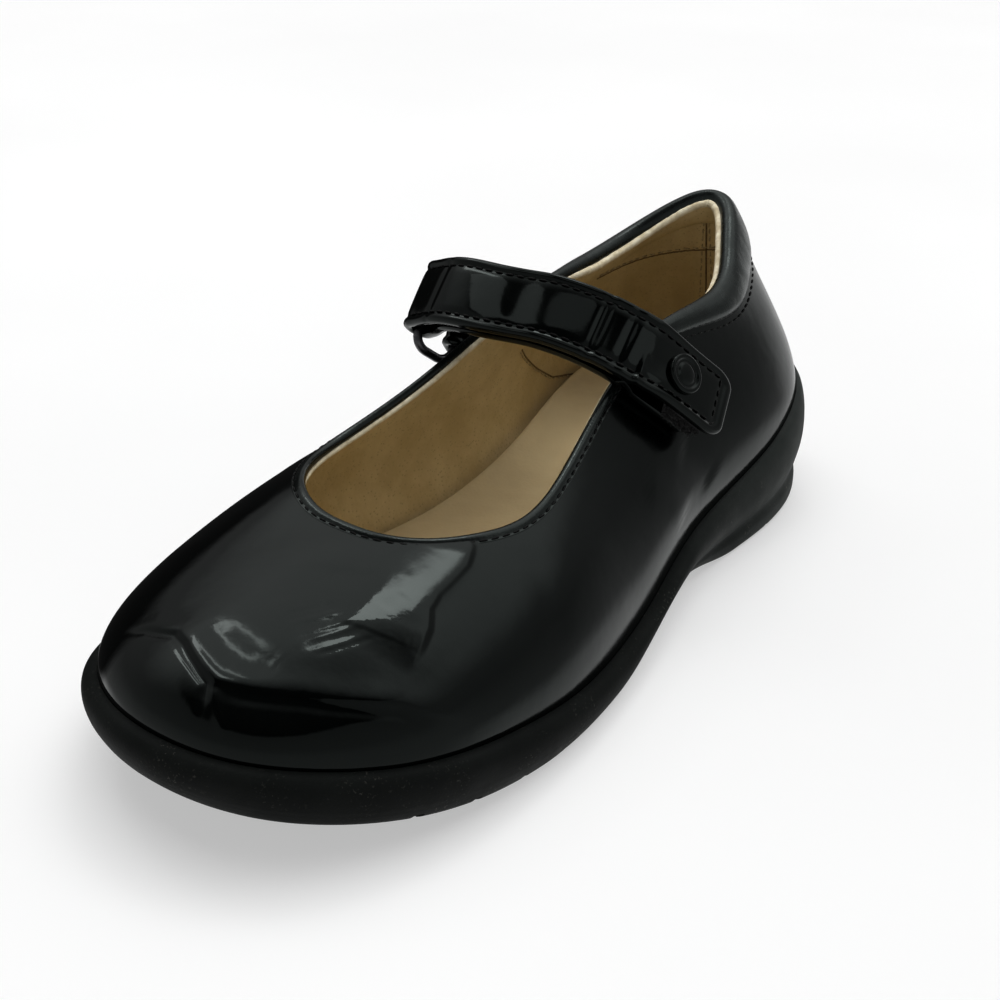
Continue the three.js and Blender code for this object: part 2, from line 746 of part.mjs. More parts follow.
function makeRingTab() {
  return bar(ringTabFrames().map((f) => strapSection(f, RING_TAB_WIDTH, RING_TAB_THICK)));
}

// ---- hook-and-loop pads and badge -------------------------------------------
function pad(stand, width, from, to) {
  const frames = Array.from({ length: 8 }, (_, k) => lowerFrame(from + ((to - from) * k) / 7, stand));
  return bar(frames.map((f) => strapSection(moved(f, -0.4, 0), width, PAD_THICK)));
}

const makeLoopPad = () => pad(LAYER.loop, 14, 0.885, 0.955);
const makeHookPad = () => pad(LAYER.hook, 13, 0.885, 0.96);

function makeBadge() {
  const frame = strapFrame(BADGE_AT);
  const { place, normal } = nearestSkin(frame.middle, 2.5, 6.5);
  const side = frame.across.addScaledVector(normal, -frame.across.dot(normal)).normalize();
  place.addScaledVector(normal, LAYER.upper + STRAP_THICK / 2 + GAP + BADGE_THICK / 2);
  const disc = new THREE.CylinderGeometry(BADGE_RADIUS - 0.4, BADGE_RADIUS, BADGE_THICK, 32);
  const turn = new THREE.Matrix4().makeBasis(side, normal, side.clone().cross(normal));
  disc.applyMatrix4(turn.setPosition(place));
  return fromManifold(toManifold(disc));
}

// ---- materials and assembly -------------------------------------------------
const LOOK = {
  patent: { color: 0x0c0c0e, roughness: 0.12, metalness: 0 },
  satin: { color: 0x151515, roughness: 0.45, metalness: 0 },
  rubber: { color: 0x1b1b1b, roughness: 0.7, metalness: 0 },
  footbed: { color: 0xb59a76, roughness: 0.75, metalness: 0 },
  nickel: { color: 0x5c5c60, roughness: 0.3, metalness: 1 },
  pile: { color: 0x080808, roughness: 1, metalness: 0 },
};

function part(name, look, geometry) {
  const mesh = new THREE.Mesh(geometry, new THREE.MeshStandardMaterial(LOOK[look]));
  geometry.translate(-CENTRE.x, -CENTRE.y, 0);
  geometry.computeVertexNormals();
  mesh.name = name;
  return mesh;
}

const shoe = new THREE.Group();
shoe.name = 'mary_jane_shoe';
shoe.add(part('outsole', 'rubber', makeOutsole()));
shoe.add(part('insole', 'footbed', makeInsole()));
shoe.add(part('upper', 'patent', makeUpper()));
shoe.add(part('collar', 'satin', makeCollar()));
shoe.add(part('throat_binding', 'satin', makeBinding()));
shoe.add(part('strap', 'patent', makeStrap()));
shoe.add(part('strap_ring', 'nickel', makeRing()));
shoe.add(part('ring_tab', 'patent', makeRingTab()));
shoe.add(part('loop_pad', 'pile', makeLoopPad()));
shoe.add(part('hook_pad', 'pile', makeHookPad()));
shoe.add(part('badge', 'patent', makeBadge()));

export default shoe;
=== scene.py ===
"""Looks of the child's mary jane shoe (left foot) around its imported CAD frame.

Lengths in the shape code are millimetres in the shoe's own frame: toe towards -Y, outer
side towards +X, floor at z = 0. Meshes are written in metres.
"""
import json
import math

import bmesh
import bpy
import numpy as np
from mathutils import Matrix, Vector

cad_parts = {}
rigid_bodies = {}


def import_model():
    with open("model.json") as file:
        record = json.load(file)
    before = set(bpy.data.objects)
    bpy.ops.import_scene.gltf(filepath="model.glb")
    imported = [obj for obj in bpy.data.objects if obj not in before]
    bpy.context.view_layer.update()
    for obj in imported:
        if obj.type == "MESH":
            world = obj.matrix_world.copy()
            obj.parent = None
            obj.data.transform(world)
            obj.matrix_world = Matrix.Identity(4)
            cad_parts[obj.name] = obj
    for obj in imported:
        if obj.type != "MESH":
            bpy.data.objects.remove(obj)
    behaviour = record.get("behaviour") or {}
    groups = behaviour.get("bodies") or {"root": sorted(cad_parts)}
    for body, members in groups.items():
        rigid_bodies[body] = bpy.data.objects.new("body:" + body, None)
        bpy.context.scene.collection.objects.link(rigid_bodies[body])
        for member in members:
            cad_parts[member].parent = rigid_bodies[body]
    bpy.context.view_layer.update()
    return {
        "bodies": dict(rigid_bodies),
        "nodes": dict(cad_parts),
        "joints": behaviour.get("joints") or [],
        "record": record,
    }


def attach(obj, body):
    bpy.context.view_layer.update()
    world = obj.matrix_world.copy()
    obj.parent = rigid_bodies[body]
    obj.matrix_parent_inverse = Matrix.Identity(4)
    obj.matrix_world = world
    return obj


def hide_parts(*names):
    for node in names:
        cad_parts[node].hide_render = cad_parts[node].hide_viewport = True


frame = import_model()
MM = 0.001
SEED = 20
rng = np.random.default_rng(SEED)

# ---- driving sizes ----
LENGTH, BALL_WIDTH, COLLAR_HEIGHT = 200.0, 80.0, 67.5
WALL, GAP, INSOLE = 2.0, 0.3, 3.0
TOE_SPRING, ARCH_RISE = 11.3, 5.6
HEEL_FRONT, TREAD_BACK, TREAD_FRONT = 0.27, 0.60, 0.71
ARCH_BACK, ARCH_FRONT, HEEL_ROUND, HEEL_LIFT = 0.43, 0.46, 0.04, 1.3
GROOVE_WIDTH, GROOVE_DEPTH = 2.6, 1.5
STRAP_WIDTH, STRAP_THICK, TAB_CORNER = 16.0, 2.0, 3.6
WIRE, RING_LENGTH, RING_CORNER = 2.0, 21.8, 3.4
RING_TAB_WIDTH, RING_TAB_THICK, RING_TAB_LENGTH = 14.0, 1.6, 15.0
RING_RISE = 0.88             # wall parameter under the ring's lower bar
BADGE_RADIUS, BADGE_THICK, BADGE_AT = 4.3, 1.1, 0.88
EDGE_LIFT = 1.4              # how much higher a strap lies where it crosses the topline
# heights of the strap's layers above the upper, to the middle of each
LAYER = {"lower": 1.5, "loop": 3.45, "hook": 4.9, "upper": 6.75}
FOLD_RADIUS = WIRE / 2 + GAP + STRAP_THICK / 2 + 0.35
RING_STAND = GAP + RING_TAB_THICK + GAP + WIRE / 2 + 2.2     # its lower bar above the wall
# the frame's origin, in the coordinates of the tables below
CENTRE = np.array([1.52, -0.45, 0.0])
UP = np.array([0.0, 0.0, 1.0])

# along, side: feather line; swell, lift: wall at the sole; rimAlong, rimSide, rimHeight:
# topline; pitch, reach: wall at the topline; band: depth of collar or binding
LAST_COLUMNS = ("along", "side", "swell", "lift", "rimAlong", "rimSide", "rimHeight",
                "pitch", "reach", "band")
LAST_ROWS = (
    (0.003, 0.010, -5, 12, 0.0550, -0.005, 1.000, 76, 10, 11.5),
    (0.030, 0.212, -8, 12, 0.0720, 0.070, 0.982, 76, 10, 11.0),
    (0.098, 0.355, -5, 13, 0.124, 0.148, 0.911, 72, 11, 9.50),
    (0.210, 0.404, 6, 15, 0.210, 0.225, 0.822, 70, 13, 6.00),
    (0.350, 0.394, 13, 16, 0.345, 0.213, 0.793, 66, 15, 2.20),
    (0.495, 0.458, 8, 14, 0.480, 0.238, 0.643, 50, 15, 1.80),
    (0.637, 0.519, 5, 12, 0.600, 0.293, 0.548, 30, 14, 1.80),
    (0.750, 0.520, 4, 11, 0.674, 0.263, 0.545, 20, 14, 1.80),
    (0.871, 0.458, 3, 11, 0.7165, 0.188, 0.553, 13, 15, 1.80),
    (0.970, 0.275, 3, 11, 0.7385, 0.095, 0.561, 10, 18, 1.80),
    (0.998, 0.025, 3, 11, 0.743, 0.000, 0.566, 8, 20, 1.80),
    (0.972, -0.220, 3, 11, 0.739, -0.095, 0.574, 10, 18, 1.80),
    (0.893, -0.413, 3, 11, 0.719, -0.188, 0.587, 13, 15, 1.80),
    (0.776, -0.488, 4, 11, 0.6785, -0.268, 0.575, 20, 14, 1.80),
    (0.659, -0.451, 7, 12, 0.613, -0.308, 0.575, 30, 14, 1.80),
    (0.509, -0.351, 14, 14, 0.495, -0.263, 0.667, 50, 15, 1.80),
    (0.360, -0.299, 18, 15, 0.355, -0.206, 0.822, 64, 14, 2.20),
    (0.220, -0.331, 12, 15, 0.215, -0.208, 0.855, 70, 13, 6.00),
    (0.100, -0.326, 3, 13, 0.118, -0.166, 0.914, 72, 11, 9.50),
    (0.030, -0.200, -4, 12, 0.071, -0.080, 0.985, 76, 10, 11.0),
)
# along, height of the sole's upper edge, height of the cup's floor
SOLE_ROWS = (
    (0.000, 31.0, 21.0), (0.100, 26.6, 19.5), (0.210, 20.3, 17.0), (0.350, 13.9, 11.5),
    (0.495, 9.3, 6.8), (0.637, 9.0, 5.4), (0.750, 11.4, 7.2), (0.871, 15.5, 11.4),
    (0.970, 20.2, 16.2), (1.000, 21.5, 17.6),
)
# level down the sidewall, distance outside the feather line at the forefoot and heel
SIDEWALL_ROWS = (
    (0.00, 0.3, 0.3), (0.02, 1.3, 1.1), (0.07, 2.2, 1.8), (0.20, 3.1, 2.5), (0.40, 3.3, 2.6),
    (0.60, 2.9, 1.6), (0.72, 2.4, 0.6), (0.765, 2.2, 0.75), (0.80, 2.0, 1.25), (0.87, 1.6, 1.4),
    (0.95, 0.9, 1.2), (1.00, 0.0, 0.3),
)
# the strap's upper layer: side, along (y) and height of its middle, then the way across it
STRAP_ROWS = (
    (-30.1, 12.9, 58.3, -0.3, 5.7, 5.7), (-20.6, 10.4, 61.8, -0.6, 5.9, 5.3),
    (-9.4, 10.4, 62.4, -0.6, 6.1, 4.9), (2.4, 13.0, 61.9, -0.5, 6.3, 4.9),
    (14.0, 17.0, 58.6, -0.3, 6.5, 4.7), (24.2, 23.2, 51.9, 0.1, 6.9, 4.4),
    (33.9, 34.5, 39.5, 0.1, 7.0, 3.5),
)
# the lower layer under place s of the upper one: s, drop, shift towards the toe
LOWER_ROWS = (
    (0.00, 5.2, 0.0), (0.06, 4.7, 0.0), (0.16, 3.2, 0.0), (0.30, 2.6, 0.0), (0.55, 2.5, 0.2),
    (0.70, 2.6, 0.5), (0.76, 2.9, 0.7), (0.82, 4.2, 0.9), (0.90, 5.6, 1.2), (1.01, 6.5, 1.6),
)

STATIONS = len(LAST_ROWS)
COLLAR_FROM, COLLAR_TO = 15.95, 24.05


# ---- interpolation ----
def clamp(x, lo=0.0, hi=1.0):
    return np.minimum(hi, np.maximum(lo, x))


def smoothstep(a, b, x):
    t = clamp((np.asarray(x, float) - a) / (b - a))
    return t * t * (3 - 2 * t)


def smooth_round(values):
    """Closed curve with continuous curvature through evenly numbered values."""
    n = len(values)
    matrix = np.zeros((n, n))
    for i in range(n):
        matrix[i, i] = 4
        matrix[i, i - 1] += 1
        matrix[i, (i + 1) % n] += 1
    knots = np.linalg.solve(matrix / 6, np.array(values, float))

    def at(u):
        u = np.asarray(u, float)
        i = np.floor(u).astype(int)
        t = u - i
        s = 1 - t
        return (s**3 * knots[(i - 1) % n] + (3 * t**3 - 6 * t**2 + 4) * knots[i % n]
                + (3 * s**3 - 6 * s**2 + 4) * knots[(i + 1) % n] + t**3 * knots[(i + 2) % n]) / 6
    return at


def along_table(rows, column, x):
    """Value between the rows of an open table, with smooth slopes."""
    rows = np.array(rows, float)
    keys, values = rows[:, 0], rows[:, column]
    last = len(keys) - 1
    k = clamp(np.asarray(x, float), keys[0], keys[-1])
    i = np.clip(np.searchsorted(keys, k, side="right") - 1, 0, last - 1)
    before, after = np.maximum(0, i - 1), np.minimum(last, i + 2)
    h = keys[i + 1] - keys[i]
    t = (k - keys[i]) / h
    m0 = (values[i + 1] - values[before]) / (keys[i + 1] - keys[before]) * h
    m1 = (values[after] - values[i]) / (keys[after] - keys[i]) * h
    return ((2 * t**3 - 3 * t**2 + 1) * values[i] + (t**3 - 2 * t**2 + t) * m0
            + (3 * t**2 - 2 * t**3) * values[i + 1] + (t**3 - t**2) * m1)


LAST = {name: smooth_round([row[c] for row in LAST_ROWS]) for c, name in enumerate(LAST_COLUMNS)}


def between_rows(x, keys, rows):
    """Rows of points or directions, with one key a row, interpolated at x."""
    return np.stack([np.interp(x, keys, column) for column in np.asarray(rows).T], axis=-1)


def unit(v):
    return v / np.maximum(1e-12, np.linalg.norm(v, axis=-1, keepdims=True))


def point(x, y, z):
    return np.stack(np.broadcast_arrays(x, y, z), axis=-1).astype(float)


def running_length(points):
    """Distance along each row of points from its first one."""
    steps = np.linalg.norm(np.diff(points, axis=-2), axis=-1)
    return np.concatenate([np.zeros((*steps.shape[:-1], 1)), np.cumsum(steps, axis=-1)], axis=-1)


# ---- the last ----
def y_at(along):
    return LENGTH / 2 - along * LENGTH


def along_at(y):
    return (LENGTH / 2 - y) / LENGTH


def rim_height(y):
    return along_table(SOLE_ROWS, 1, along_at(y))


def seat_height(y):
    return along_table(SOLE_ROWS, 2, along_at(y))


def tread_height(y):
    """Height of the tread: an arch before the heel, a toe spring, a rounded back of the heel."""
    a = along_at(y)
    arch = smoothstep(HEEL_FRONT, ARCH_BACK, a) * (1 - smoothstep(ARCH_FRONT, TREAD_BACK, a))
    toe = clamp((a - TREAD_FRONT) / (1 - TREAD_FRONT), 0, 1.1)
    back = clamp((HEEL_ROUND - a) / HEEL_ROUND, 0, 1.3)
    return ARCH_RISE * arch + TOE_SPRING * toe**1.55 + HEEL_LIFT * back * back


def feather_point(u):
    y = y_at(LAST["along"](u))
    return point(LAST["side"](u) * BALL_WIDTH, y, rim_height(y))


def topline_point(u):
    return point(LAST["rimSide"](u) * BALL_WIDTH, y_at(LAST["rimAlong"](u)),
                 LAST["rimHeight"](u) * COLLAR_HEIGHT)


def outward(curve, u):
    d = curve(u + 0.02) - curve(u - 0.02)
    return unit(point(-d[..., 1], d[..., 0], 0 * d[..., 0]))


def wall_point(u, t):
    """One wall of the last: t = 0 at the sole, 1 at the topline, below 0 down in the cup."""
    u, t = np.broadcast_arrays(np.asarray(u, float), np.asarray(t, float))
    foot, rim = feather_point(u), topline_point(u)
    swell = np.radians(LAST["swell"](u))[..., None]
    up = outward(feather_point, u) * np.sin(swell) + UP * np.cos(swell)
    lift = LAST["lift"](u)[..., None]
    pitch = np.radians(LAST["pitch"](u))[..., None]
    fall = outward(topline_point, u) * np.cos(pitch) - UP * np.sin(pitch)
    p1, p2 = foot + up * lift, rim + fall * LAST["reach"](u)[..., None]
    t = t[..., None]
    s = 1 - t
    curve = foot * s**3 + p1 * (3 * s * s * t) + p2 * (3 * s * t * t) + rim * t**3
    return np.where(t < 0, foot + up * (3 * lift * t), curve)


def wall_normal(u, t):
    e = 0.01
    u, t = np.broadcast_arrays(np.asarray(u, float), np.asarray(t, float))
    around = wall_point(u + e, t) - wall_point(u - e, t)
    rise = wall_point(u, np.minimum(1, t + e)) - wall_point(u, t - e)
    return unit(np.cross(rise, around))


def skin(u, t, offset=0.0):
    return wall_point(u, t) + wall_normal(u, t) * np.asarray(offset, float)[..., None]


def skirt(u, height, offset):
    start = skin(u, -0.02, offset)
    slope = start - skin(u, -0.12, offset)
    return start + slope * ((height - start[..., 2]) / slope[..., 2])[..., None]


def seat_point(u, above, offset):
    first = skirt(u, seat_height(feather_point(u)[..., 1]) + above, offset)
    return skirt(u, seat_height(first[..., 1]) + above, offset)


# Distance down the wall from the topline, for stations WALK_U and wall parameters WALK
WALK = np.linspace(1.0, 0.0, 201)
WALK_U = np.linspace(0, STATIONS, 401)[:-1]
WALK_DEPTHS = running_length(wall_point(WALK_U[:, None], WALK[None, :]))


def depth_at(u, t):
    """Distance along the wall from the topline down to a wall parameter."""
    row = np.floor((u % STATIONS) / STATIONS * len(WALK_U)).astype(int) % len(WALK_U)
    place = np.clip((1 - t) * (len(WALK) - 1), 0, len(WALK) - 1).astype(int)
    return WALK_DEPTHS[row, place]


def below_topline(u, depth):
    """Wall parameter a given distance below the topline, along the wall."""
    u, depth = np.broadcast_arrays(np.asarray(u, float), np.asarray(depth, float))
    place = (u % STATIONS) / STATIONS * len(WALK_U)
    i = np.floor(place).astype(int) % len(WALK_U)
    f = place - np.floor(place)
    out = np.empty(u.shape)
    for k in np.ndindex(u.shape):
        depths = WALK_DEPTHS[i[k]] * (1 - f[k]) + WALK_DEPTHS[(i[k] + 1) % len(WALK_U)] * f[k]
        out[k] = np.interp(depth[k], depths, WALK)
    return out


# ---- meshes ----
def quads(rows, cols, wrap_rows=False, wrap_cols=False):
    """Quads of a grid of points numbered row by row."""
    r = np.arange(rows if wrap_rows else rows - 1)
    c = np.arange(cols if wrap_cols else cols - 1)
    a, b = r[:, None] * cols, ((r[:, None] + 1) % rows) * cols
    d = (c[None, :] + 1) % cols
    return np.stack([a + c, a + d, b + d, b + c], axis=-1).reshape(-1, 4)


def make_object(name, points, faces, materials, face_material=None, body="root"):
    """A smooth-shaded mesh from points in millimetres, turned outside out."""
    points = np.asarray(points, float).reshape(-1, 3) - CENTRE
    mesh = bpy.data.meshes.new(name)
    mesh.from_pydata((points * MM).tolist(), [], [list(map(int, f)) for f in faces])
    for material in materials:
        mesh.materials.append(material)
    if face_material is not None:
        mesh.polygons.foreach_set("material_index", np.asarray(face_material, np.int32))
    mesh.polygons.foreach_set("use_smooth", np.ones(len(mesh.polygons), bool))
    mesh.validate()
    obj = bpy.data.objects.new(name, mesh)
    bpy.context.scene.collection.objects.link(obj)
    turn_outside_out(mesh)
    if body:
        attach(obj, body)
    return obj


def turn_outside_out(mesh):
    bm = bmesh.new()
    bm.from_mesh(mesh)
    if bm.calc_volume(signed=True) < 0:
        bmesh.ops.reverse_faces(bm, faces=bm.faces)
    bm.to_mesh(mesh)
    bm.free()
    mesh.update()


def bar_mesh(sections):
    """Points and faces of a bar through closed sections, with its ends closed."""
    sections = np.asarray(sections, float)
    n, m = sections.shape[:2]
    faces = [list(f) for f in quads(n, m, wrap_cols=True)]
    faces.append(list(range(m))[::-1])
    faces.append([(n - 1) * m + i for i in range(m)])
    return sections.reshape(-1, 3), faces


def tube(path, radius, sides=10, closed=False):
    """A round cord along a path; radius may be one value or one a point."""
    path = np.asarray(path, float)
    n = len(path)
    radius = np.broadcast_to(np.asarray(radius, float), (n,))
    ahead = np.roll(path, -1, 0) - np.roll(path, 1, 0)
    if not closed:
        ahead[0], ahead[-1] = path[1] - path[0], path[-1] - path[-2]
    ahead = unit(ahead)
    side = unit(np.cross(ahead[0], [0.3, 0.2, 0.93]))
    out = []
    for i in range(n):
        side = unit(side - ahead[i] * np.dot(side, ahead[i]))
        up = np.cross(ahead[i], side)
        a = np.linspace(0, 2 * np.pi, sides, endpoint=False)[:, None]
        out.append(path[i] + radius[i] * (np.cos(a) * side + np.sin(a) * up))
    out = np.array(out)
    if closed:
        return out.reshape(-1, 3), quads(n, sides, True, True)
    return bar_mesh(out)


def joined(name, parts, materials, body="root"):
    """One mesh object from many (points, faces) parts."""
    points, faces, base = [], [], 0
    for p, f in parts:
        points.append(np.asarray(p, float).reshape(-1, 3))
        faces.extend([[int(i) + base for i in face] for face in f])
        base += len(points[-1])
    return make_object(name, np.concatenate(points), faces, materials, body=body)


# ---- node trees ----
class Nodes:
    """A small builder for one shader tree."""

    def __init__(self, tree, coordinates):
        tree.nodes.clear()
        self.new, self.link = tree.nodes.new, tree.links.new
        self.coords = self.add("TexCoord").outputs[coordinates]

    def add(self, kind, **inputs):
        """A node of a kind, with its named inputs filled."""
        node = self.new("ShaderNode" + kind)
        for name, value in inputs.items():
            self.fill(node.inputs[name], value)
        return node

    def fill(self, socket, value):
        """Link another socket to this one, or set this one's value."""
        if isinstance(value, bpy.types.NodeSocket):
            self.link(value, socket)
        else:
            socket.default_value = value

    def noise(self, scale, detail=3.0, rough=0.5, distortion=0.0, stretch=None):
        """scale is in features a metre; stretch scales the coordinates per axis."""
        vector = self.add("Mapping", Scale=stretch, Vector=self.coords).outputs[0] if stretch else self.coords
        return self.add("TexNoise", Scale=scale, Detail=detail, Roughness=rough, Distortion=distortion,
                        Vector=vector).outputs[0]

    def cells(self, scale, feature="F1"):
        node = self.add("TexVoronoi", Scale=scale, Vector=self.coords)
        node.feature = feature
        return node.outputs["Distance"]

    def axis(self, name):
        return self.add("SeparateXYZ", Vector=self.coords).outputs[name]

    def spread(self, value, low, high, to_low=0.0, to_high=1.0, kind="SMOOTHSTEP"):
        node = self.add("MapRange")
        node.interpolation_type = kind
        for socket, v in zip(node.inputs, (value, low, high, to_low, to_high)):
            self.fill(socket, v)
        return node.outputs[0]

    def maths(self, kind, a, b):
        node = self.add("Math")
        node.operation = kind
        self.fill(node.inputs[0], a)
        self.fill(node.inputs[1], b)
        return node.outputs[0]

    def mix(self, factor, a, b):
        node = self.add("Mix")
        node.data_type = "RGBA"
        for place, v in ((0, factor), (6, a), (7, b)):
            self.fill(node.inputs[place], (*v, 1.0) if isinstance(v, tuple) else v)
        return node.outputs[2]

    def mottled(self, noise, low, high, dark, light):
        """Two colours mixed by a noise between its values low and high."""
        return self.mix(self.spread(self.noise(*noise), low, high), dark, light)

    def bump(self, height, strength, distance, before=None):
        node = self.add("Bump", Strength=strength, Distance=distance, Height=height)
        if before is not None:
            self.link(before, node.inputs["Normal"])
        return node.outputs[0]


class Paint(Nodes):
    """A Principled material, with its uniform values by socket name."""

    def __init__(self, name, **values):
        self.material = bpy.data.materials.new(name)
        self.material.use_nodes = True
        super().__init__(self.material.node_tree, "Object")
        self.shader = self.add("BsdfPrincipled")
        self.link(self.shader.outputs[0], self.add("OutputMaterial").inputs[0])
        for key, value in values.items():
            self.shader.inputs[key.replace("_", " ")].default_value = value

    def to(self, socket, value):
        self.link(value, self.shader.inputs[socket])


# ---- materials ----
WHITE = (1.0, 1.0, 1.0, 1.0)
BLACK_TINT = (0.88, 1.0, 0.96, 1.0)      # faintly green reflections of the black leathers


def patent_material(name, low, high, flexed=0.0):
    """Black patent leather: clear gloss, smears, faint orange peel, duller where the vamp flexes."""
    p = Paint(name, IOR=1.45, Specular_IOR_Level=0.5, Specular_Tint=BLACK_TINT)
    p.to("Base Color", p.mottled((60, 4, 0.6), 0.3, 0.75, (0.0004, 0.0006, 0.0006), (0.0013, 0.0017, 0.0016)))
    smear = p.noise(45, 5, 0.62, 0.6, (1.0, 0.55, 1.0))
    fine = p.maths("MULTIPLY", p.noise(900, 3, 0.6), 0.12)
    rough = p.spread(p.maths("ADD", smear, fine), 0.42, 0.80, low, high)
    if flexed:
        rough = p.maths("ADD", rough, p.spread(p.axis("Y"), -0.066, -0.046, 0.0, flexed))
    p.to("Roughness", rough)
    peel = p.bump(p.noise(420, 2, 0.5), 0.10, 0.00018)
    p.to("Normal", p.bump(p.noise(95, 2, 0.5), 0.16, 0.0006, peel))
    return p.material


def satin_material(name, low, high):
    """Soft black leather of the padded collar and, shinier, of the rolled binding."""
    p = Paint(name, IOR=1.5, Specular_IOR_Level=0.62, Specular_Tint=BLACK_TINT)
    p.to("Base Color", p.mottled((150, 4, 0.6), 0.3, 0.7, (0.0030, 0.0040, 0.0038), (0.0090, 0.0110, 0.0104)))
    p.to("Roughness", p.spread(p.noise(260, 4, 0.6), 0.3, 0.75, low, high))
    grain = p.bump(p.cells(1500, "DISTANCE_TO_EDGE"), 0.25, 0.00012)
    p.to("Normal", p.bump(p.noise(330, 3, 0.5, 0.3), 0.22, 0.0004, grain))
    return p.material


def lining_material():
    """Tan leather lining: pores, slight mottling and soft creases."""
    p = Paint("tan_lining", IOR=1.45, Specular_IOR_Level=0.35)
    leather = p.mottled((70, 5, 0.65), 0.3, 0.72, (0.60, 0.48, 0.26), (0.73, 0.61, 0.37))
    p.to("Base Color", p.mix(p.spread(p.cells(1100), 0.05, 0.32), (0.52, 0.42, 0.24), leather))
    p.to("Roughness", p.spread(p.noise(300, 3, 0.5), 0.3, 0.7, 0.52, 0.7))
    grain = p.bump(p.cells(1100), 0.3, 0.00015)
    p.to("Normal", p.bump(p.noise(120, 4, 0.55, 0.5), 0.35, 0.0007, grain))
    return p.material


def rubber_material():
    """Moulded black rubber: spark-eroded grain, painted light that makes it paler towards the heel, and dust
    low down.
    """
    p = Paint("sole_rubber", IOR=1.5, Specular_IOR_Level=0.22)
    mottle = p.spread(p.noise(40, 5, 0.6), 0.3, 0.75)
    dark = p.mix(mottle, (0.0040, 0.0055, 0.0050), (0.0090, 0.0110, 0.0100))
    # painted light: the pale colour below is mixed in towards the heel, so the heel's side looks lit by the
    # bright back of the room
    pale = p.mix(mottle, (0.030, 0.035, 0.033), (0.048, 0.054, 0.051))
    painted_heel_light = p.mix(p.spread(p.axis("Y"), -0.01, 0.075), dark, pale)
    low = p.spread(p.axis("Z"), 0.001, 0.012, 1.0, 0.0)
    specks = p.spread(p.noise(1700, 2, 0.7), 0.60, 0.67)
    patches = p.spread(p.noise(90, 4, 0.65), 0.45, 0.7)
    dust = p.maths("MULTIPLY", p.maths("MULTIPLY", specks, patches), p.maths("ADD", low, 0.6))
    p.to("Base Color", p.mix(p.maths("MULTIPLY", dust, 0.42), painted_heel_light, (0.20, 0.19, 0.17)))
    p.to("Roughness", p.spread(p.noise(60, 4, 0.6), 0.3, 0.7, 0.58, 0.74))
    grain = p.bump(p.noise(2600, 2, 0.6), 0.35, 0.00012)
    p.to("Normal", p.bump(p.noise(240, 3, 0.5), 0.10, 0.0005, grain))
    return p.material


def plain_paint(name, colour, rough=None, bump=None, **values):
    """Mottled colour (noise, its low and high, two colours), and maybe mottled roughness (noise
    and two ends) and a bump (noise, strength, distance), over uniform values."""
    p = Paint(name, **values)
    p.to("Base Color", p.mottled(*colour))
    if rough:
        p.to("Roughness", p.spread(p.noise(*rough[0]), 0.3, 0.7, *rough[1:]))
    if bump:
        p.to("Normal", p.bump(p.noise(*bump[0]), *bump[1:]))
    return p


def edge_material():
    """Pale cut edge of the lining, rubbed and a little fuzzy."""
    return plain_paint("lining_edge", ((420, 4, 0.6), 0.3, 0.7, (0.62, 0.54, 0.38), (0.86, 0.80, 0.64)),
                       ((700, 2, 0.5), 0.7, 0.9), ((1600, 3, 0.6), 0.4, 0.0002),
                       IOR=1.45, Specular_IOR_Level=0.3).material


def insole_material():
    """Footbed leather, smoother and a little darker where the foot has rubbed it."""
    p = plain_paint("footbed_leather", ((28, 4, 0.6, 0.4), 0.35, 0.7, (0.56, 0.46, 0.29), (0.68, 0.58, 0.38)),
                    ((200, 3, 0.5), 0.6, 0.78), IOR=1.45, Specular_IOR_Level=0.3)
    p.to("Normal", p.bump(p.cells(1300), 0.3, 0.00014))
    return p.material


def thread_material(name, dark, light):
    return plain_paint(name, ((1800, 2, 0.5), 0.3, 0.7, dark, light), None,
                       ((3200, 2, 0.6, 0.0, (1, 3, 1)), 0.5, 0.0002),
                       IOR=1.45, Specular_IOR_Level=0.4, Roughness=0.55).material


def nickel_material():
    return plain_paint("dark_nickel", ((300, 4, 0.6), 0.35, 0.7, (0.10, 0.10, 0.105), (0.32, 0.32, 0.33)),
                       ((700, 4, 0.6), 0.14, 0.34), ((900, 2, 0.5), 0.15, 0.0002), Metallic=1.0).material


def pile_material():
    colour = (1500, 3, 0.7), 0.35, 0.7, (0.003, 0.003, 0.003), (0.02, 0.021, 0.021)
    return plain_paint("hook_and_loop", colour, None, ((2600, 3, 0.7), 0.9, 0.0006),
                       IOR=1.45, Specular_IOR_Level=0.25, Sheen_Weight=0.3, Roughness=0.95).material


def floor_material():
    """Pale floor that glows a little, and more towards its far edge, where less light falls."""
    p = plain_paint("pale_floor", ((3, 3, 0.5), 0.3, 0.7, (0.38, 0.38, 0.38), (0.41, 0.41, 0.41)),
                    ((9, 3, 0.5), 0.75, 0.85), IOR=1.45, Specular_IOR_Level=0.1, Emission_Color=WHITE)
    far = p.add("VectorMath")
    far.operation = "LENGTH"
    p.link(p.coords, far.inputs[0])
    p.to("Emission Strength", p.spread(far.outputs["Value"], 0.4, 3.5, 0.52, 0.90))
    return p.material


def backdrop_material():
    """Nearly white behind the floor, for the camera only."""
    p = Paint("pale_backdrop", Roughness=1.0, Specular_IOR_Level=0.0,
              Emission_Color=WHITE, Emission_Strength=0.96)
    p.to("Base Color", p.mix(p.noise(2.0), (0.01, 0.01, 0.01), (0.02, 0.02, 0.02)))
    return p.material


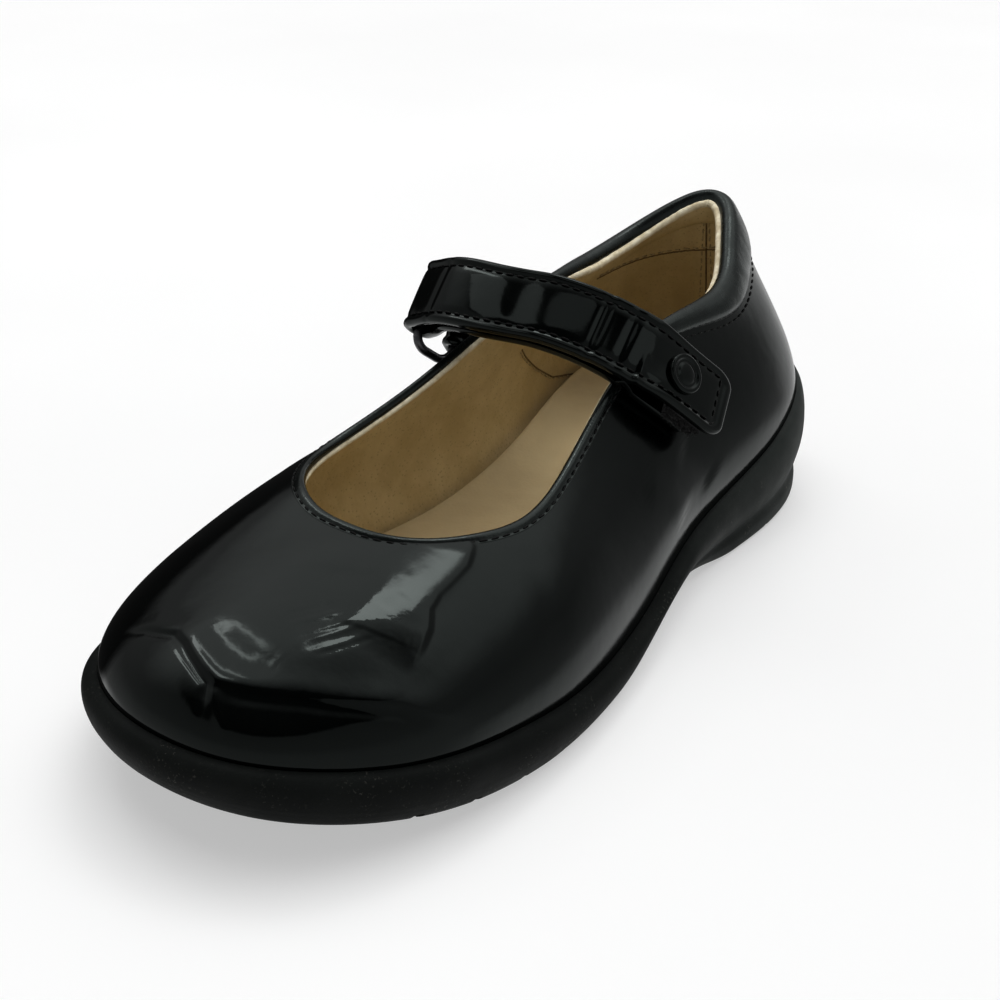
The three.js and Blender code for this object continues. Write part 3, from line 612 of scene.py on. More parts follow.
PATENT = patent_material("patent_leather", 0.035, 0.12, 0.10)
STRAP_PATENT = patent_material("strap_patent", 0.08, 0.19)
SATIN = satin_material("satin_leather", 0.22, 0.36)
ROLLED = satin_material("rolled_edge_leather", 0.12, 0.22)
LINING, LINING_EDGE, FOOTBED = lining_material(), edge_material(), insole_material()
RUBBER, NICKEL, PILE = rubber_material(), nickel_material(), pile_material()
BLACK_THREAD = thread_material("black_thread", (0.003, 0.003, 0.003), (0.014, 0.014, 0.014))
TAN_THREAD = thread_material("tan_thread", (0.40, 0.31, 0.18), (0.62, 0.52, 0.34))
SEAM = thread_material("lining_seam", (0.16, 0.11, 0.05), (0.30, 0.22, 0.11))


# ---- upper ----
UPPER_COLUMNS, OUTER_ROWS, LINING_ROWS = 520, 132, 36
MARGIN = 2.3                 # least depth of the turned edge below the topline
LINING_TOP = 1.4             # depth below the topline where the lining ends
CROWDING = 0.42              # how much closer the upper's columns stand on the vamp
# Creases of the worn vamp: height in mm (below 0 a trough, above 0 a ridge), half width in
# mm, and the line's points as (station round the feather line, part of the way up the wall).
CREASES = (
    (-0.30, 0.85, ((11.17, 0.26), (10.83, 0.35), (10.47, 0.40), (10.27, 0.39), (9.97, 0.35),
                  (9.73, 0.31), (9.67, 0.25), (9.63, 0.15))),
    (0.12, 0.9, ((9.66, 0.33), (9.55, 0.26), (9.44, 0.18), (9.38, 0.12))),
    (-0.16, 1.25, ((9.60, 0.29), (9.33, 0.295), (8.90, 0.305), (8.50, 0.285), (8.17, 0.26),
                   (7.85, 0.16))),
    (-0.14, 3.2, ((10.3, 0.50), (9.9, 0.47), (9.5, 0.44), (9.1, 0.43))),
    (-0.06, 1.7, ((8.52, 0.67), (8.42, 0.70), (8.30, 0.73))),
    (-0.10, 5.0, ((9.25, 0.84), (9.15, 0.74), (9.05, 0.62))),
    (-0.15, 4.0, ((6.55, 0.90), (6.60, 0.70), (6.55, 0.50), (6.45, 0.32))),
    (-0.12, 5.0, ((13.5, 0.90), (13.4, 0.70), (13.3, 0.50), (13.3, 0.30))),
    (-0.14, 5.0, ((12.4, 0.86), (12.2, 0.68), (12.0, 0.50))),
    (0.30, 4.5, ((4.80, 0.60), (4.50, 0.38), (4.35, 0.16))),
    (-0.40, 4.5, ((4.20, 0.52), (4.00, 0.34), (3.85, 0.16))),
)
# Folds with one gentle and one steep side: rise, half widths of the two sides in mm, the
# way that the steep side faces (x, y), and the line's points as above
FOLDS = (
    (0.72, 11.0, 1.15, (1, 0),
     ((7.10, 0.99), (7.30, 0.95), (7.50, 0.85), (7.72, 0.79), (7.93, 0.73), (8.03, 0.67), (8.03, 0.59),
      (8.10, 0.50), (8.20, 0.42))),
    (0.34, 3.2, 1.00, (0, -1),
     ((11.05, 0.30), (10.80, 0.385), (10.45, 0.43), (10.24, 0.418), (9.93, 0.375), (9.67, 0.335),
      (9.33, 0.340), (8.90, 0.350), (8.50, 0.330), (8.17, 0.31), (7.80, 0.23), (7.50, 0.16))),
)
# Fine flex wrinkles side by side: the first one's ends, the step to the next one, how many,
# their depth and half width in mm
WRINKLE_FROM, WRINKLE_TO, WRINKLE_STEP = np.array(((9.52, 0.605), (9.02, 0.690), (-0.075, -0.017)))
WRINKLE_COUNT, WRINKLE_DEPTH, WRINKLE_WIDTH = 8, 0.07, 0.55


def crowded_stations(count):
    """Stations round the shoe, nearly twice as close on the vamp as at the heel."""
    place = np.arange(count) * STATIONS / count
    turn = 2 * np.pi / STATIONS
    return place + CROWDING / turn * np.sin((place + 0.5) * turn)


def wall_rows(top, count):
    """Wall parameters from the sole's edge up, evenly spaced."""
    return np.linspace(0, 1, count)[:, None] * top[None, :]


def visible_band(u):
    """Depth of the collar, or of the turned edge round the throat, below the topline."""
    return np.maximum(MARGIN, LAST["band"](u))


def collar_share(u):
    """1 along the padded collar, 0 along the throat."""
    return smoothstep(2.4, 6.0, LAST["band"](u))


def lining_offset(u, depth):
    """The wall thins from the sole up to the throat's edge; the heel keeps its thickness."""
    thin = 1.3 + 0.7 * smoothstep(1.0, 10.0, depth)
    return -(thin + (WALL - thin) * collar_share(u))


def make_upper():
    u = crowded_stations(UPPER_COLUMNS)
    top = below_topline(u, 1.3 + (visible_band(u) - 1.5) * collar_share(u))
    rows = wall_rows(top, OUTER_ROWS)
    uu = np.broadcast_to(u, rows.shape)
    outer = skin(uu, rows, crease_height(uu, rows))
    lining_rows = wall_rows(below_topline(u, np.full(u.shape, LINING_TOP)), LINING_ROWS)
    wide = np.broadcast_to(u, lining_rows.shape)
    inner = skin(wide, lining_rows, lining_offset(wide, depth_at(wide, lining_rows)))
    rings = [seat_point(u, GAP, 0.0), skin(u, -0.05), *outer, skin(u, top, -0.5), *inner[::-1],
             skin(u, -0.05, -WALL), seat_point(u, GAP, -WALL)]
    faces = quads(len(rings), UPPER_COLUMNS, True, True)
    row_of_face = np.repeat(np.arange(len(rings)), UPPER_COLUMNS)
    inside = (row_of_face >= 3 + OUTER_ROWS).astype(int)
    upper = make_object("upper_leather", np.array(rings), faces, [PATENT, LINING], inside)
    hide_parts("upper")


def line_on_wall(stations, steps=14):
    """Points along a line given as (station, part of the wall) pairs."""
    knots = np.arange(len(stations))
    places = between_rows(np.linspace(0, knots[-1], knots[-1] * steps + 1), knots, stations)
    return skin(places[:, 0], places[:, 1])


def trough(points, line, half_width, steep_width=None, steep_side=(1, 0)):
    """1 on the line, falling smoothly to the sides and at the line's two ends."""
    shape = points.shape[:-1]
    flat = points.reshape(-1, 3)
    best, place = np.full(len(flat), 1e9), np.zeros(len(flat), int)
    for k, p in enumerate(line):
        d = ((flat - p) ** 2).sum(1)
        near = d < best
        best[near], place[near] = d[near], k
    steep = (flat - line[place])[:, :2] @ np.array(steep_side) > 0
    width = np.where(steep, steep_width or half_width, half_width)
    part = place / (len(line) - 1)
    fade = smoothstep(0, 0.22, part) * (1 - smoothstep(0.78, 1, part))
    return (np.exp(-best / width**2) * fade).reshape(shape)


def crease_height(u, t):
    """Soft troughs and ridges of the worn vamp, in millimetres along the normal."""
    places = skin(u, t)
    x, y = places[..., 0], places[..., 1]
    height = 0.05 * np.sin(x / 5.2 + 1.1) * np.sin(y / 8.1 + 0.4) + 0.04 * np.sin(x / 9.3 - y / 6.7)
    height *= smoothstep(0.05, 0.3, t) * (1 - smoothstep(0.8, 0.97, t))
    for rise, half_width, line in CREASES:
        height = height + rise * trough(places, line_on_wall(line), half_width)
    for rise, half_width, steep_width, steep_side, line in FOLDS:
        height = height + rise * trough(places, line_on_wall(line), half_width, steep_width, steep_side)
    for k in range(WRINKLE_COUNT):
        moved_by = WRINKLE_STEP * k + (0.04 * math.sin(2.3 * k), 0.0)
        line = line_on_wall((WRINKLE_FROM + moved_by, WRINKLE_TO + moved_by))
        height = height - WRINKLE_DEPTH * trough(places, line, WRINKLE_WIDTH)
    return height * smoothstep(0.0, 0.06, t)


# ---- rolled edges: throat binding and padded collar ----
def edge_point(u, depth, offset):
    """Point a depth below the topline (above it if negative), offset out from the wall."""
    u, depth, offset = np.broadcast_arrays(*(np.asarray(v, float) for v in (u, depth, offset)))
    p = skin(u, below_topline(u, np.maximum(depth, 0)), offset)
    rise = unit(wall_point(u, 1.0) - wall_point(u, 0.97))
    return p + rise * np.maximum(-depth, 0)[..., None]


# Turned edge round the throat: depth below the topline, offset out from the wall
BINDING_PROFILE = (
    (2.25, -0.10), (2.25, 0.03), (2.14, 0.10), (2.00, 0.10), (1.86, 0.04), (1.68, 0.04), (1.54, 0.12),
    (1.40, 0.18), (1.15, 0.32), (0.80, 0.44), (0.40, 0.48), (0.00, 0.36), (-0.32, 0.10), (-0.48, -0.30),
    (-0.48, -0.75), (-0.30, -1.15), (0.05, -1.42), (0.50, -1.52), (1.00, -1.46), (1.35, -1.30),
    (1.50, -1.10), (1.50, -0.80), (1.50, -0.50), (1.75, -0.20),
)
# Padded collar: part of its depth, offset, and then depth and offset of the rolled top
COLLAR_FACE = (
    (1.02, -0.45), (1.00, -0.20), (0.97, 0.10), (0.92, 0.62), (0.84, 1.12), (0.72, 1.52), (0.58, 1.70),
    (0.44, 1.66), (0.30, 1.46), (0.16, 1.14),
)
COLLAR_TOP = (
    (0.35, 0.72), (-0.55, 0.16), (-1.15, -0.70), (-1.20, -1.70), (-0.70, -2.60), (0.10, -3.20),
    (1.10, -3.50), (2.40, -3.60), (4.00, -3.45), (5.80, -3.00), (7.40, -2.40), (7.60, -1.90),
    (7.60, -1.0),
)
BLACK_TOP = 16               # columns of the collar's section that are black leather


def make_binding():
    """Rolled and stitched edge round the throat."""
    u = np.linspace(COLLAR_TO - STATIONS - 0.02, COLLAR_FROM + 0.02, 400)
    columns = [edge_point(u, depth, offset) for depth, offset in BINDING_PROFILE]
    binding = make_object("throat_edge_binding", *bar_mesh(np.stack(columns, axis=1)), [ROLLED])
    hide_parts("throat_binding")


def pucker(u):
    """Slight waves of the padded leather between stitches, in millimetres."""
    return 0.012 * np.sin(u * 17.0) + 0.008 * np.sin(u * 29.0 + 1.3) + 0.07 * np.sin(u * 5.3 + 0.5)


def make_collar():
    """Padded roll of soft leather round the heel: crowned between its seam and its top."""
    u = np.linspace(COLLAR_FROM - 0.05, COLLAR_TO + 0.05, 300)
    share = collar_share(u)
    band = visible_band(u)
    columns = []
    for k, (part, offset) in enumerate(COLLAR_FACE):
        puff = offset * (0.25 + 0.75 * share) + (pucker(u) * share if 2 < k else 0)
        columns.append(edge_point(u, part * band, puff))
    for depth, offset in COLLAR_TOP:
        inward = -WALL / 2 + (offset + WALL / 2) * (0.72 + 0.28 * share)
        columns.append(edge_point(u, depth if depth < 0 else depth * (0.4 + 0.6 * share), inward))
    m = len(columns)
    index = [(1 if BLACK_TOP <= k % m < m - 1 else 0) for k in range((len(u) - 1) * m)] + [0, 0]
    points, faces = bar_mesh(np.stack(columns, axis=1))
    collar = make_object("padded_collar", points, faces, [SATIN, LINING], index)
    smooth = collar.modifiers.new("crown", "SUBSURF")
    smooth.levels = smooth.render_levels = 1
    apply_modifiers(collar, 180)
    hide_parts("collar")


def make_lining_edge():
    """Pale folded edge of the lining just inside the binding and the collar."""
    u = np.linspace(0, STATIONS, 640, endpoint=False)
    share = collar_share(u)
    wobble = 0.04 * np.sin(u * 13.0) + 0.02 * np.sin(u * 41.0 + 0.7)
    path = edge_point(u, 0.60 + 0.30 * share + wobble, -1.80 - 2.0 * share)
    radius = 0.68 + 0.22 * share + 0.02 * np.sin(u * 31.0)
    edge = make_object("lining_edge", *tube(path, radius, sides=8, closed=True), [LINING_EDGE])


# ---- stitches ----
# pitch, length and radius of the stitches of the uppers, the lining, the strap and its tab
EDGE_THREAD, LINING_THREAD = (2.5, 1.75, 0.17), (2.2, 1.5, 0.2)
STRAP_THREAD, TAB_THREAD = (2.45, 1.75, 0.18), (2.4, 1.7, 0.18)
SINK = 0.03                  # how deep a stitch lies in the leather
THROAT_ROW, HEEL_ROW = 1.77, 1.3     # below the topline, and below the collar's seam
GRIP_FROM, GRIP_TO = 17.3, 22.7      # stations of the heel grip's ends inside the shoe
BACK_SEAM = 19.62            # station of the seam up the back of the lining
# front seam of the lining: station, part of the wall
FRONT_SEAM = ((17.32, 0.01), (16.98, 0.12), (16.65, 0.31), (16.40, 0.47), (16.28, 0.56))


def resample(path, normals, pitch):
    """Evenly spaced places along a path, with the normal and the way ahead at each."""
    lengths = running_length(path)
    count = max(2, int(lengths[-1] / pitch))
    at = (np.arange(count) + 0.5) * lengths[-1] / count
    ahead = between_rows(at + 0.2, lengths, path) - between_rows(at - 0.2, lengths, path)
    return between_rows(at, lengths, path), unit(between_rows(at, lengths, normals)), unit(ahead)


def stitch_row(path, normals, pitch, length, radius):
    """Meshes of a row of thread stitches lying along a path, each dipping at its ends."""
    parts = []
    k = np.linspace(-1, 1, 7)
    for p, n, t in zip(*resample(np.asarray(path), np.asarray(normals), pitch)):
        jitter = 1 + 0.08 * rng.standard_normal()
        turn = 0.05 * rng.standard_normal()
        t = unit(t + np.cross(n, t) * turn)
        rise = (radius - SINK) * (1 - 1.9 * k**4)
        spine = p + t * (k * length * jitter / 2)[:, None] + n * rise[:, None]
        parts.append(tube(spine, radius * (1 - 0.45 * np.abs(k) ** 3), sides=6))
    return parts


def outer_row(u, depth, offset):
    """A path at a depth below the topline on the outer face, and its normals."""
    t = below_topline(u, depth)
    return skin(u, t, offset), wall_normal(u, t)


def inner_row(u, depth, offset=0.02):
    """A path at a depth below the topline on the lining, and its normals."""
    t = below_topline(u, depth)
    return skin(u, t, -WALL - offset), -wall_normal(u, t)


def make_stitches():
    throat = np.linspace(COLLAR_TO - STATIONS + 0.02, COLLAR_FROM - 0.02, 500)
    heel = np.linspace(COLLAR_FROM + 0.1, COLLAR_TO - 0.1, 400)
    black = stitch_row(*outer_row(throat, THROAT_ROW, 0.07), *EDGE_THREAD)
    black += stitch_row(*outer_row(heel, visible_band(heel) + HEEL_ROW, 0.02), *EDGE_THREAD)
    thread = joined("edge_stitches", black, [BLACK_THREAD])
    tan = []
    for shift in (-0.10, 0.10):
        tan += stitch_row(*inner_row(BACK_SEAM + shift, np.linspace(6.5, 34, 60), 0.0), *LINING_THREAD)
    grip = np.linspace(GRIP_FROM, GRIP_TO, 200)
    tan += stitch_row(*inner_row(grip, seam_depth(grip)), *LINING_THREAD)
    facing = -unit(wall_normal(16.5, 0.2))
    front = line_on_wall(FRONT_SEAM) + facing * (WALL + 0.02)
    tan += stitch_row(front, np.broadcast_to(facing, front.shape), *LINING_THREAD)
    rows = joined("lining_stitches", tan, [TAN_THREAD])
    seams = [tube(inner_row(BACK_SEAM, np.linspace(4.5, 40, 80))[0], 0.22, 6),
             tube(inner_row(grip, seam_depth(grip) + 0.75)[0], 0.2, 6),
             tube(front + np.array([0.0, 1.0, 0.0]), 0.2, 6)]
    lines = joined("lining_seams", seams, [SEAM])


def seam_depth(u):
    """Depth below the topline of the heel grip's lower edge inside the shoe."""
    depth = []
    for station, height in zip(u, 53.5 - 1.2 * np.abs(u - STATIONS)):
        t = np.linspace(1, 0.2, 200)
        row = int(np.argmax(skin(station, t, -WALL)[:, 2] < height))
        depth.append(running_length(wall_point(station, t[:row + 2]))[-1])
    return np.array(depth)


# ---- outsole ----
SOLE_COLUMNS = 420
GROOVES_ALONG = (0.06, 0.13, 0.20, 0.64, 0.70, 0.76, 0.82, 0.88)
# half a groove's section: part of its half width, part of its depth
GROOVE_ROWS = ((1, -2), (0.8, 0.8), (0.45, 1))
# the sole's middle line: its ends as a part of the length, its bow and its shift in mm
SPINE_REACH, SPINE_BOW, SPINE_SHIFT = 0.36, 2.5, 1.2


def sidewall_ring(u, level):
    """The sole's side at a level, from 0 at its upper edge to 1 at the tread."""
    heel = 1 - smoothstep(HEEL_FRONT, ARCH_BACK, LAST["along"](u))
    fore_out, heel_out = (along_table(SIDEWALL_ROWS, column, level) for column in (1, 2))
    foot = feather_point(u)
    p = foot + outward(feather_point, u) * (fore_out + (heel_out - fore_out) * heel)[..., None]
    bottom = tread_height(p[..., 1])
    p[..., 2] = foot[..., 2] + (bottom - foot[..., 2]) * level
    return p


def towards_spine(ring, height_at, parts):
    """Copies of a ring drawn in towards the sole's middle line, laid at a height."""
    out = []
    for part in parts:
        y = clamp(ring[:, 1] * 0.93, -LENGTH * SPINE_REACH, LENGTH * SPINE_REACH)
        x = SPINE_BOW * np.sin(y / LENGTH * np.pi * 1.2) + SPINE_SHIFT
        q = ring + (point(x, y, 0 * x) - ring) * part
        q[:, 2] = height_at(q[:, 1])
        out.append(q)
    return out


def zip_faces(ring, base):
    """Faces across a long closed ring, zipped from its heel end to its toe end."""
    n, ys = len(ring), ring[:, 1]
    heel, toe = int(np.argmax(ys)), int(np.argmin(ys))
    a = b = heel
    faces = []
    while a != toe or b != toe:
        next_a, next_b = (a + 1) % n, (b - 1) % n
        move_a = b == toe or (a != toe and ys[next_a] > ys[next_b])
        tip = next_a if move_a else next_b
        if a != b and tip not in (a, b):
            faces.append([base + a, base + tip, base + b])
        if move_a:
            a = next_a
        else:
            b = next_b
    return faces


def stack_mesh(rings):
    """Points and faces of a stack of long rings, closed across the first and the last."""
    n = len(rings[0])
    faces = [list(f) for f in quads(len(rings), n, wrap_cols=True)]
    faces += [f[::-1] for f in zip_faces(rings[0], 0)]
    faces += zip_faces(rings[-1], (len(rings) - 1) * n)
    return np.concatenate(rings), faces


def make_outsole():
    u = np.arange(SOLE_COLUMNS) * STATIONS / SOLE_COLUMNS
    floor = seat_point(u, 0, 0.08)
    lip = skirt(u, feather_point(u)[:, 2], 0.08)
    levels = np.concatenate([[0, 0.012, 0.03, 0.05], np.linspace(0.08, 1, 34)])
    side = [sidewall_ring(u, np.full(u.shape, level)) for level in levels]
    tread = towards_spine(side[-1], tread_height, [0.05, 0.12, 0.3, 0.5, 0.7, 0.86])
    cup = towards_spine(floor, seat_height, [0.86, 0.5, 0.22])
    points, faces = stack_mesh([*cup, floor, lip, *side, *tread])
    sole = make_object("rubber_outsole", points, faces, [RUBBER])
    cut_grooves(sole)
    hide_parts("outsole")


def cut_grooves(sole):
    """Cut the tread's cross grooves, each turned to the slope of the tread."""
    half = np.array(GROOVE_ROWS) * (GROOVE_WIDTH / 2, GROOVE_DEPTH)
    profile = np.concatenate([half[:1] * (-1, 1), half, half[:0:-1] * (-1, 1)])
    parts = []
    for along in GROOVES_ALONG:
        y = y_at(along)
        slope = math.atan2(tread_height(y + 2) - tread_height(y - 2), 4)
        turn = np.array([[math.cos(slope), math.sin(slope)], [-math.sin(slope), math.cos(slope)]])
        place = profile @ turn + (y, tread_height(y))
        parts.append(bar_mesh([point(x, *place.T) for x in (-60.0, 60.0)]))
    cutter = joined("tread_cutter", parts, [RUBBER], body=None)
    cut = sole.modifiers.new("grooves", "BOOLEAN")
    cut.operation, cut.object, cut.solver = "DIFFERENCE", cutter, "EXACT"
    apply_modifiers(sole)
    bpy.data.objects.remove(cutter)


def apply_modifiers(obj, degrees=40):
    """Put the modified mesh in place of the object's own, sharp where it turns more than degrees."""
    graph = bpy.context.evaluated_depsgraph_get()
    made = bpy.data.meshes.new_from_object(obj.evaluated_get(graph))
    old = obj.data
    obj.modifiers.clear()
    obj.data = made
    bpy.data.meshes.remove(old)
    shade_by_angle(obj, degrees)


def shade_by_angle(obj, degrees):
    bm = bmesh.new()
    bm.from_mesh(obj.data)
    limit = math.radians(degrees)
    for edge in bm.edges:
        edge.smooth = len(edge.link_faces) != 2 or edge.calc_face_angle(0) < limit
    for face in bm.faces:
        face.smooth = True
    bm.to_mesh(obj.data)
    bm.free()


# ---- strap ----
class Catmull:
    """Centripetal Catmull-Rom curve through points, from s = 0 to 1."""

    def __init__(self, points):
        p = np.array(points, float)
        self.points = np.array([2 * p[0] - p[1], *p, 2 * p[-1] - p[-2]])

    def at(self, s):
        spans = len(self.points) - 3
        i = min(max(math.floor(spans * s), 0), spans - 1)
        w = spans * s - i
        p0, p1, p2, p3 = self.points[i:i + 4]
        d0, d1, d2 = (float(((b - a) ** 2).sum()) ** 0.25 for a, b in ((p0, p1), (p1, p2), (p2, p3)))
        m1 = ((p1 - p0) / d0 - (p2 - p0) / (d0 + d1) + (p2 - p1) / d1) * d1
        m2 = ((p2 - p1) / d1 - (p3 - p1) / (d1 + d2) + (p3 - p2) / d2) * d1
        return (p1 + m1 * w + (-3 * p1 + 3 * p2 - 2 * m1 - m2) * w * w
                + (2 * p1 - 2 * p2 + m1 + m2) * w**3)

    def tangent(self, s):
        return unit(self.at(min(1.0, s + 1e-4)) - self.at(max(0.0, s - 1e-4)))

    def length(self):
        return running_length(np.array([self.at(k / 200) for k in range(201)]))[-1]


STRAP_MIDDLE = Catmull([row[:3] for row in STRAP_ROWS])
STRAP_LEAN = Catmull([unit(np.array(row[3:])) for row in STRAP_ROWS])
STRAP_LONG = STRAP_MIDDLE.length()


def strap_frame(s):
    """Section of the strap's middle line: where it is, its directions, and how it is to lie.

    lie: 0 free, 1 laid on the wall; stand: height above the wall; edge: more height at the
    topline; side: 1 if its face looks out, -1 if it looks in.
    """
    middle, run, across = STRAP_MIDDLE.at(s), STRAP_MIDDLE.tangent(s), STRAP_LEAN.at(s)
    across = unit(across - run * np.dot(across, run))
    return {"middle": middle, "run": run, "across": across, "out": unit(np.cross(run, across)),
            "lie": 0.0, "stand": 0.0, "edge": EDGE_LIFT, "side": 1}


def wall_grid(start, stop):
    """Points, normals and wall parameters of a patch of the wall between two stations."""
    u = np.linspace(start, stop, 90)[:, None]
    t = np.broadcast_to(np.linspace(0.2, 1, 110), (90, 110))
    grids = skin(u, t), wall_normal(u, np.minimum(t, 0.98)), t[..., None]
    return [grid.reshape(-1, grid.shape[-1]) for grid in grids]


LATERAL, MEDIAL = wall_grid(2.5, 6.5), wall_grid(13.5, 17.5)


def nearest_skin(p, grid):
    """Nearest place to p on a patch of the wall, with the normal and wall parameter there."""
    points, normals, t = grid
    k = int(np.argmin(((points - p) ** 2).sum(1)))
    n = normals[k]
    return p - n * np.dot(p - points[k], n), n, t[k, 0]


def moved(frame, across, out):
    middle = frame["middle"] + frame["across"] * across + frame["out"] * out
    return {**frame, "middle": middle}


def half_turn(frame, axis, ahead, radius, count):
    """Sections bent round an axis from behind it to the side that the frame faces."""
    turn = []
    for k in range(count + 1):
        a = math.pi * k / count
        away = -frame["out"] * math.cos(a) - ahead * math.sin(a)
        turn.append({**frame, "middle": axis + away * radius, "out": away})
    return turn


FOLD = strap_frame(0)
FOLD_AXIS = moved(FOLD, 0, -FOLD_RADIUS)["middle"]


def upper_frame(s):
    """Section of the upper layer, which lies down on the lower one near its end."""
    settle = float(smoothstep(0.78, 0.87, s))
    frame = strap_frame(s)
    frame.update(lie=settle, stand=LAYER["upper"] - 1.4 * (1 - settle), edge=0.0)
    return frame


def lower_frame(s, stand=LAYER["lower"]):
    """Section of the lower layer, or of a pad on it, which lie on the wall."""
    drop, forward = (float(along_table(LOWER_ROWS, column, s)) for column in (1, 2))
    frame = moved(strap_frame(s), -forward, stand - LAYER["lower"] - drop)
    frame.update(lie=float(smoothstep(0.76, 0.88, s)), stand=stand)
    return frame


PLACES = np.linspace(-1, 1, 9)


def draped(frame, width, grid):
    """Middle line of one section across the strap, with the facing at each place."""
    places, facings = [], []
    for part in PLACES:
        p, facing = frame["middle"] + frame["across"] * (part * width / 2), frame["out"].copy()
        if frame["lie"] > 0:
            near, normal, t = nearest_skin(p, grid)
            lift = frame["stand"] + frame["edge"] * float(smoothstep(0.9, 0.99, t))
            now = float(np.dot(p - near, normal))
            p = p + normal * (lift - now) * (1 if now < lift else frame["lie"])
            facing = unit(facing + (normal * frame["side"] - facing) * frame["lie"])
        places.append(p)
        facings.append(facing)
    return np.array(places), np.array(facings)


def part_across(x, places, facings):
    """Place and facing at a part of a draped section's half width."""
    return between_rows(x, PLACES, places), unit(between_rows(x, PLACES, facings))


# Height of a strap's upper face (part of half its thickness) by distance from its edge in mm
EDGE_ROWS = (
    (0.00, 0.10), (0.10, 0.50), (0.30, 0.84), (0.60, 1.03), (1.00, 1.10), (1.40, 1.05), (1.80, 0.86),
    (2.15, 0.74), (2.50, 0.80), (3.00, 0.93), (4.20, 1.00), (8.00, 1.04),
)
# The first columns of a strap, in mm from its edge
EDGE_STEPS = (0.0, 0.10, 0.30, 0.60, 1.00, 1.40, 1.80, 2.15, 2.50, 3.00, 4.20)
EDGE_ROOM = 5.4              # half width of the narrowest strap that takes them as they are
TOP_OF_ROLL = 0.86           # height of the stitched line, part of half the thickness


def strap_section_places(width):
    """Places across the strap, right edge to left, in mm from its middle."""
    right = width / 2 - np.array(EDGE_STEPS) * min(1.0, width / 2 / EDGE_ROOM)
    return np.concatenate([right, [right[-1] * 0.5, 0.0, -right[-1] * 0.5], -right[::-1]])


def section_of(frame, width, thick, grid, dent=0.0, left=1e3, full=None):
    """Closed section of a strap: its rounded upper face, its sides and its flat underside.

    dent lifts or sinks its middle; left is the length left to a free end with rounded
    corners, and full the strap's width before them.
    """
    half = (full or width) / 2
    middle_line = draped(frame, width, grid)
    edge_at, edge_height = np.array(EDGE_ROWS).T
    top, under = [], []
    for x in strap_section_places(width):
        part = 2 * x / width
        p, n = part_across(part, *middle_line)
        d = min(half - abs(x), left)
        if left < TAB_CORNER and abs(x) > half - TAB_CORNER:
            d = TAB_CORNER - math.hypot(abs(x) - (half - TAB_CORNER), TAB_CORNER - left)
        z = float(np.interp(max(0.0, d), edge_at, edge_height))
        sunk = dent * (1 - 0.5 * part * part)
        top.append(p + n * (z * thick / 2 + sunk))
        under.append(p + n * (-min(1.0, 0.2 + z) * thick / 2 + sunk))
    return np.array(top + under[::-1])


# Bends of the worn strap: place along it, half width in mm, height in mm
STRAP_BENDS = (
    (0.645, 1.0, -0.42), (0.665, 1.1, 0.16), (0.725, 0.9, -0.26), (0.745, 1.3, 0.12),
    (0.42, 4.0, -0.34), (0.52, 4.5, 0.22), (0.12, 1.0, -0.16), (0.30, 6.0, 0.15),
)


def bend_height(s):
    return sum(h * math.exp(-(((s - at) * STRAP_LONG) / w) ** 2) for at, w, h in STRAP_BENDS)


def tab_width(s):
    """Width of the strap near its free end, which has two rounded corners."""
    left = (1 - s) * STRAP_LONG
    if left >= TAB_CORNER:
        return STRAP_WIDTH
    a = math.asin(min(1.0, 1 - left / TAB_CORNER))
    return STRAP_WIDTH - 2 * TAB_CORNER * (1 - math.cos(a))


def make_strap():
    """Strap that comes up from the outer side, over the instep, round the ring and back."""
    sections = []
    for s in np.linspace(0.9427, 0.04, 90):
        frame = lower_frame(s)
        frame["out"], frame["side"] = -frame["out"], -1
        sections.append(section_of(frame, STRAP_WIDTH, STRAP_THICK, LATERAL))
    sections += [section_of(frame, STRAP_WIDTH, STRAP_THICK, LATERAL)
                 for frame in half_turn(FOLD, FOLD_AXIS, FOLD["run"], FOLD_RADIUS, 30)]
    first = 1 - TAB_CORNER / STRAP_LONG
    upper_s = list(np.linspace(1 / 60, first - 0.002, 150))
    upper_s += [first + (1 - first) * math.sin(a) * 0.998 for a in np.linspace(0, math.pi / 2, 22)]
    sections += [section_of(upper_frame(s), tab_width(s), STRAP_THICK, LATERAL, bend_height(s),
                            (1 - s) * STRAP_LONG, STRAP_WIDTH) for s in upper_s]
    strap = make_object("strap_leather", *bar_mesh(sections), [STRAP_PATENT])
    shade_by_angle(strap, 50)
    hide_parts("strap")


def make_strap_stitches():
    """One line of stitches all round the strap's upper face, a little inside its edge."""
    inset = 2.3
    sides = {-1: [], 1: []}
    for s in np.linspace(0.0, 1 - (inset + 0.3) / STRAP_LONG, 150):
        section = draped(upper_frame(s), STRAP_WIDTH, LATERAL)
        ahead = tab_width(min(1, s + 1.2 / STRAP_LONG))
        width = min(STRAP_WIDTH - 2 * inset, ahead - inset) / STRAP_WIDTH
        for side in (-1, 1):
            p, n = part_across(side * width, *section)
            sides[side].append((p + n * (TOP_OF_ROLL * STRAP_THICK / 2 + bend_height(s) * 0.7), n))
    path, normals = zip(*sides[1], *sides[-1][::-1])
    stitches = joined("strap_stitches", stitch_row(path, normals, *STRAP_THREAD), [BLACK_THREAD])


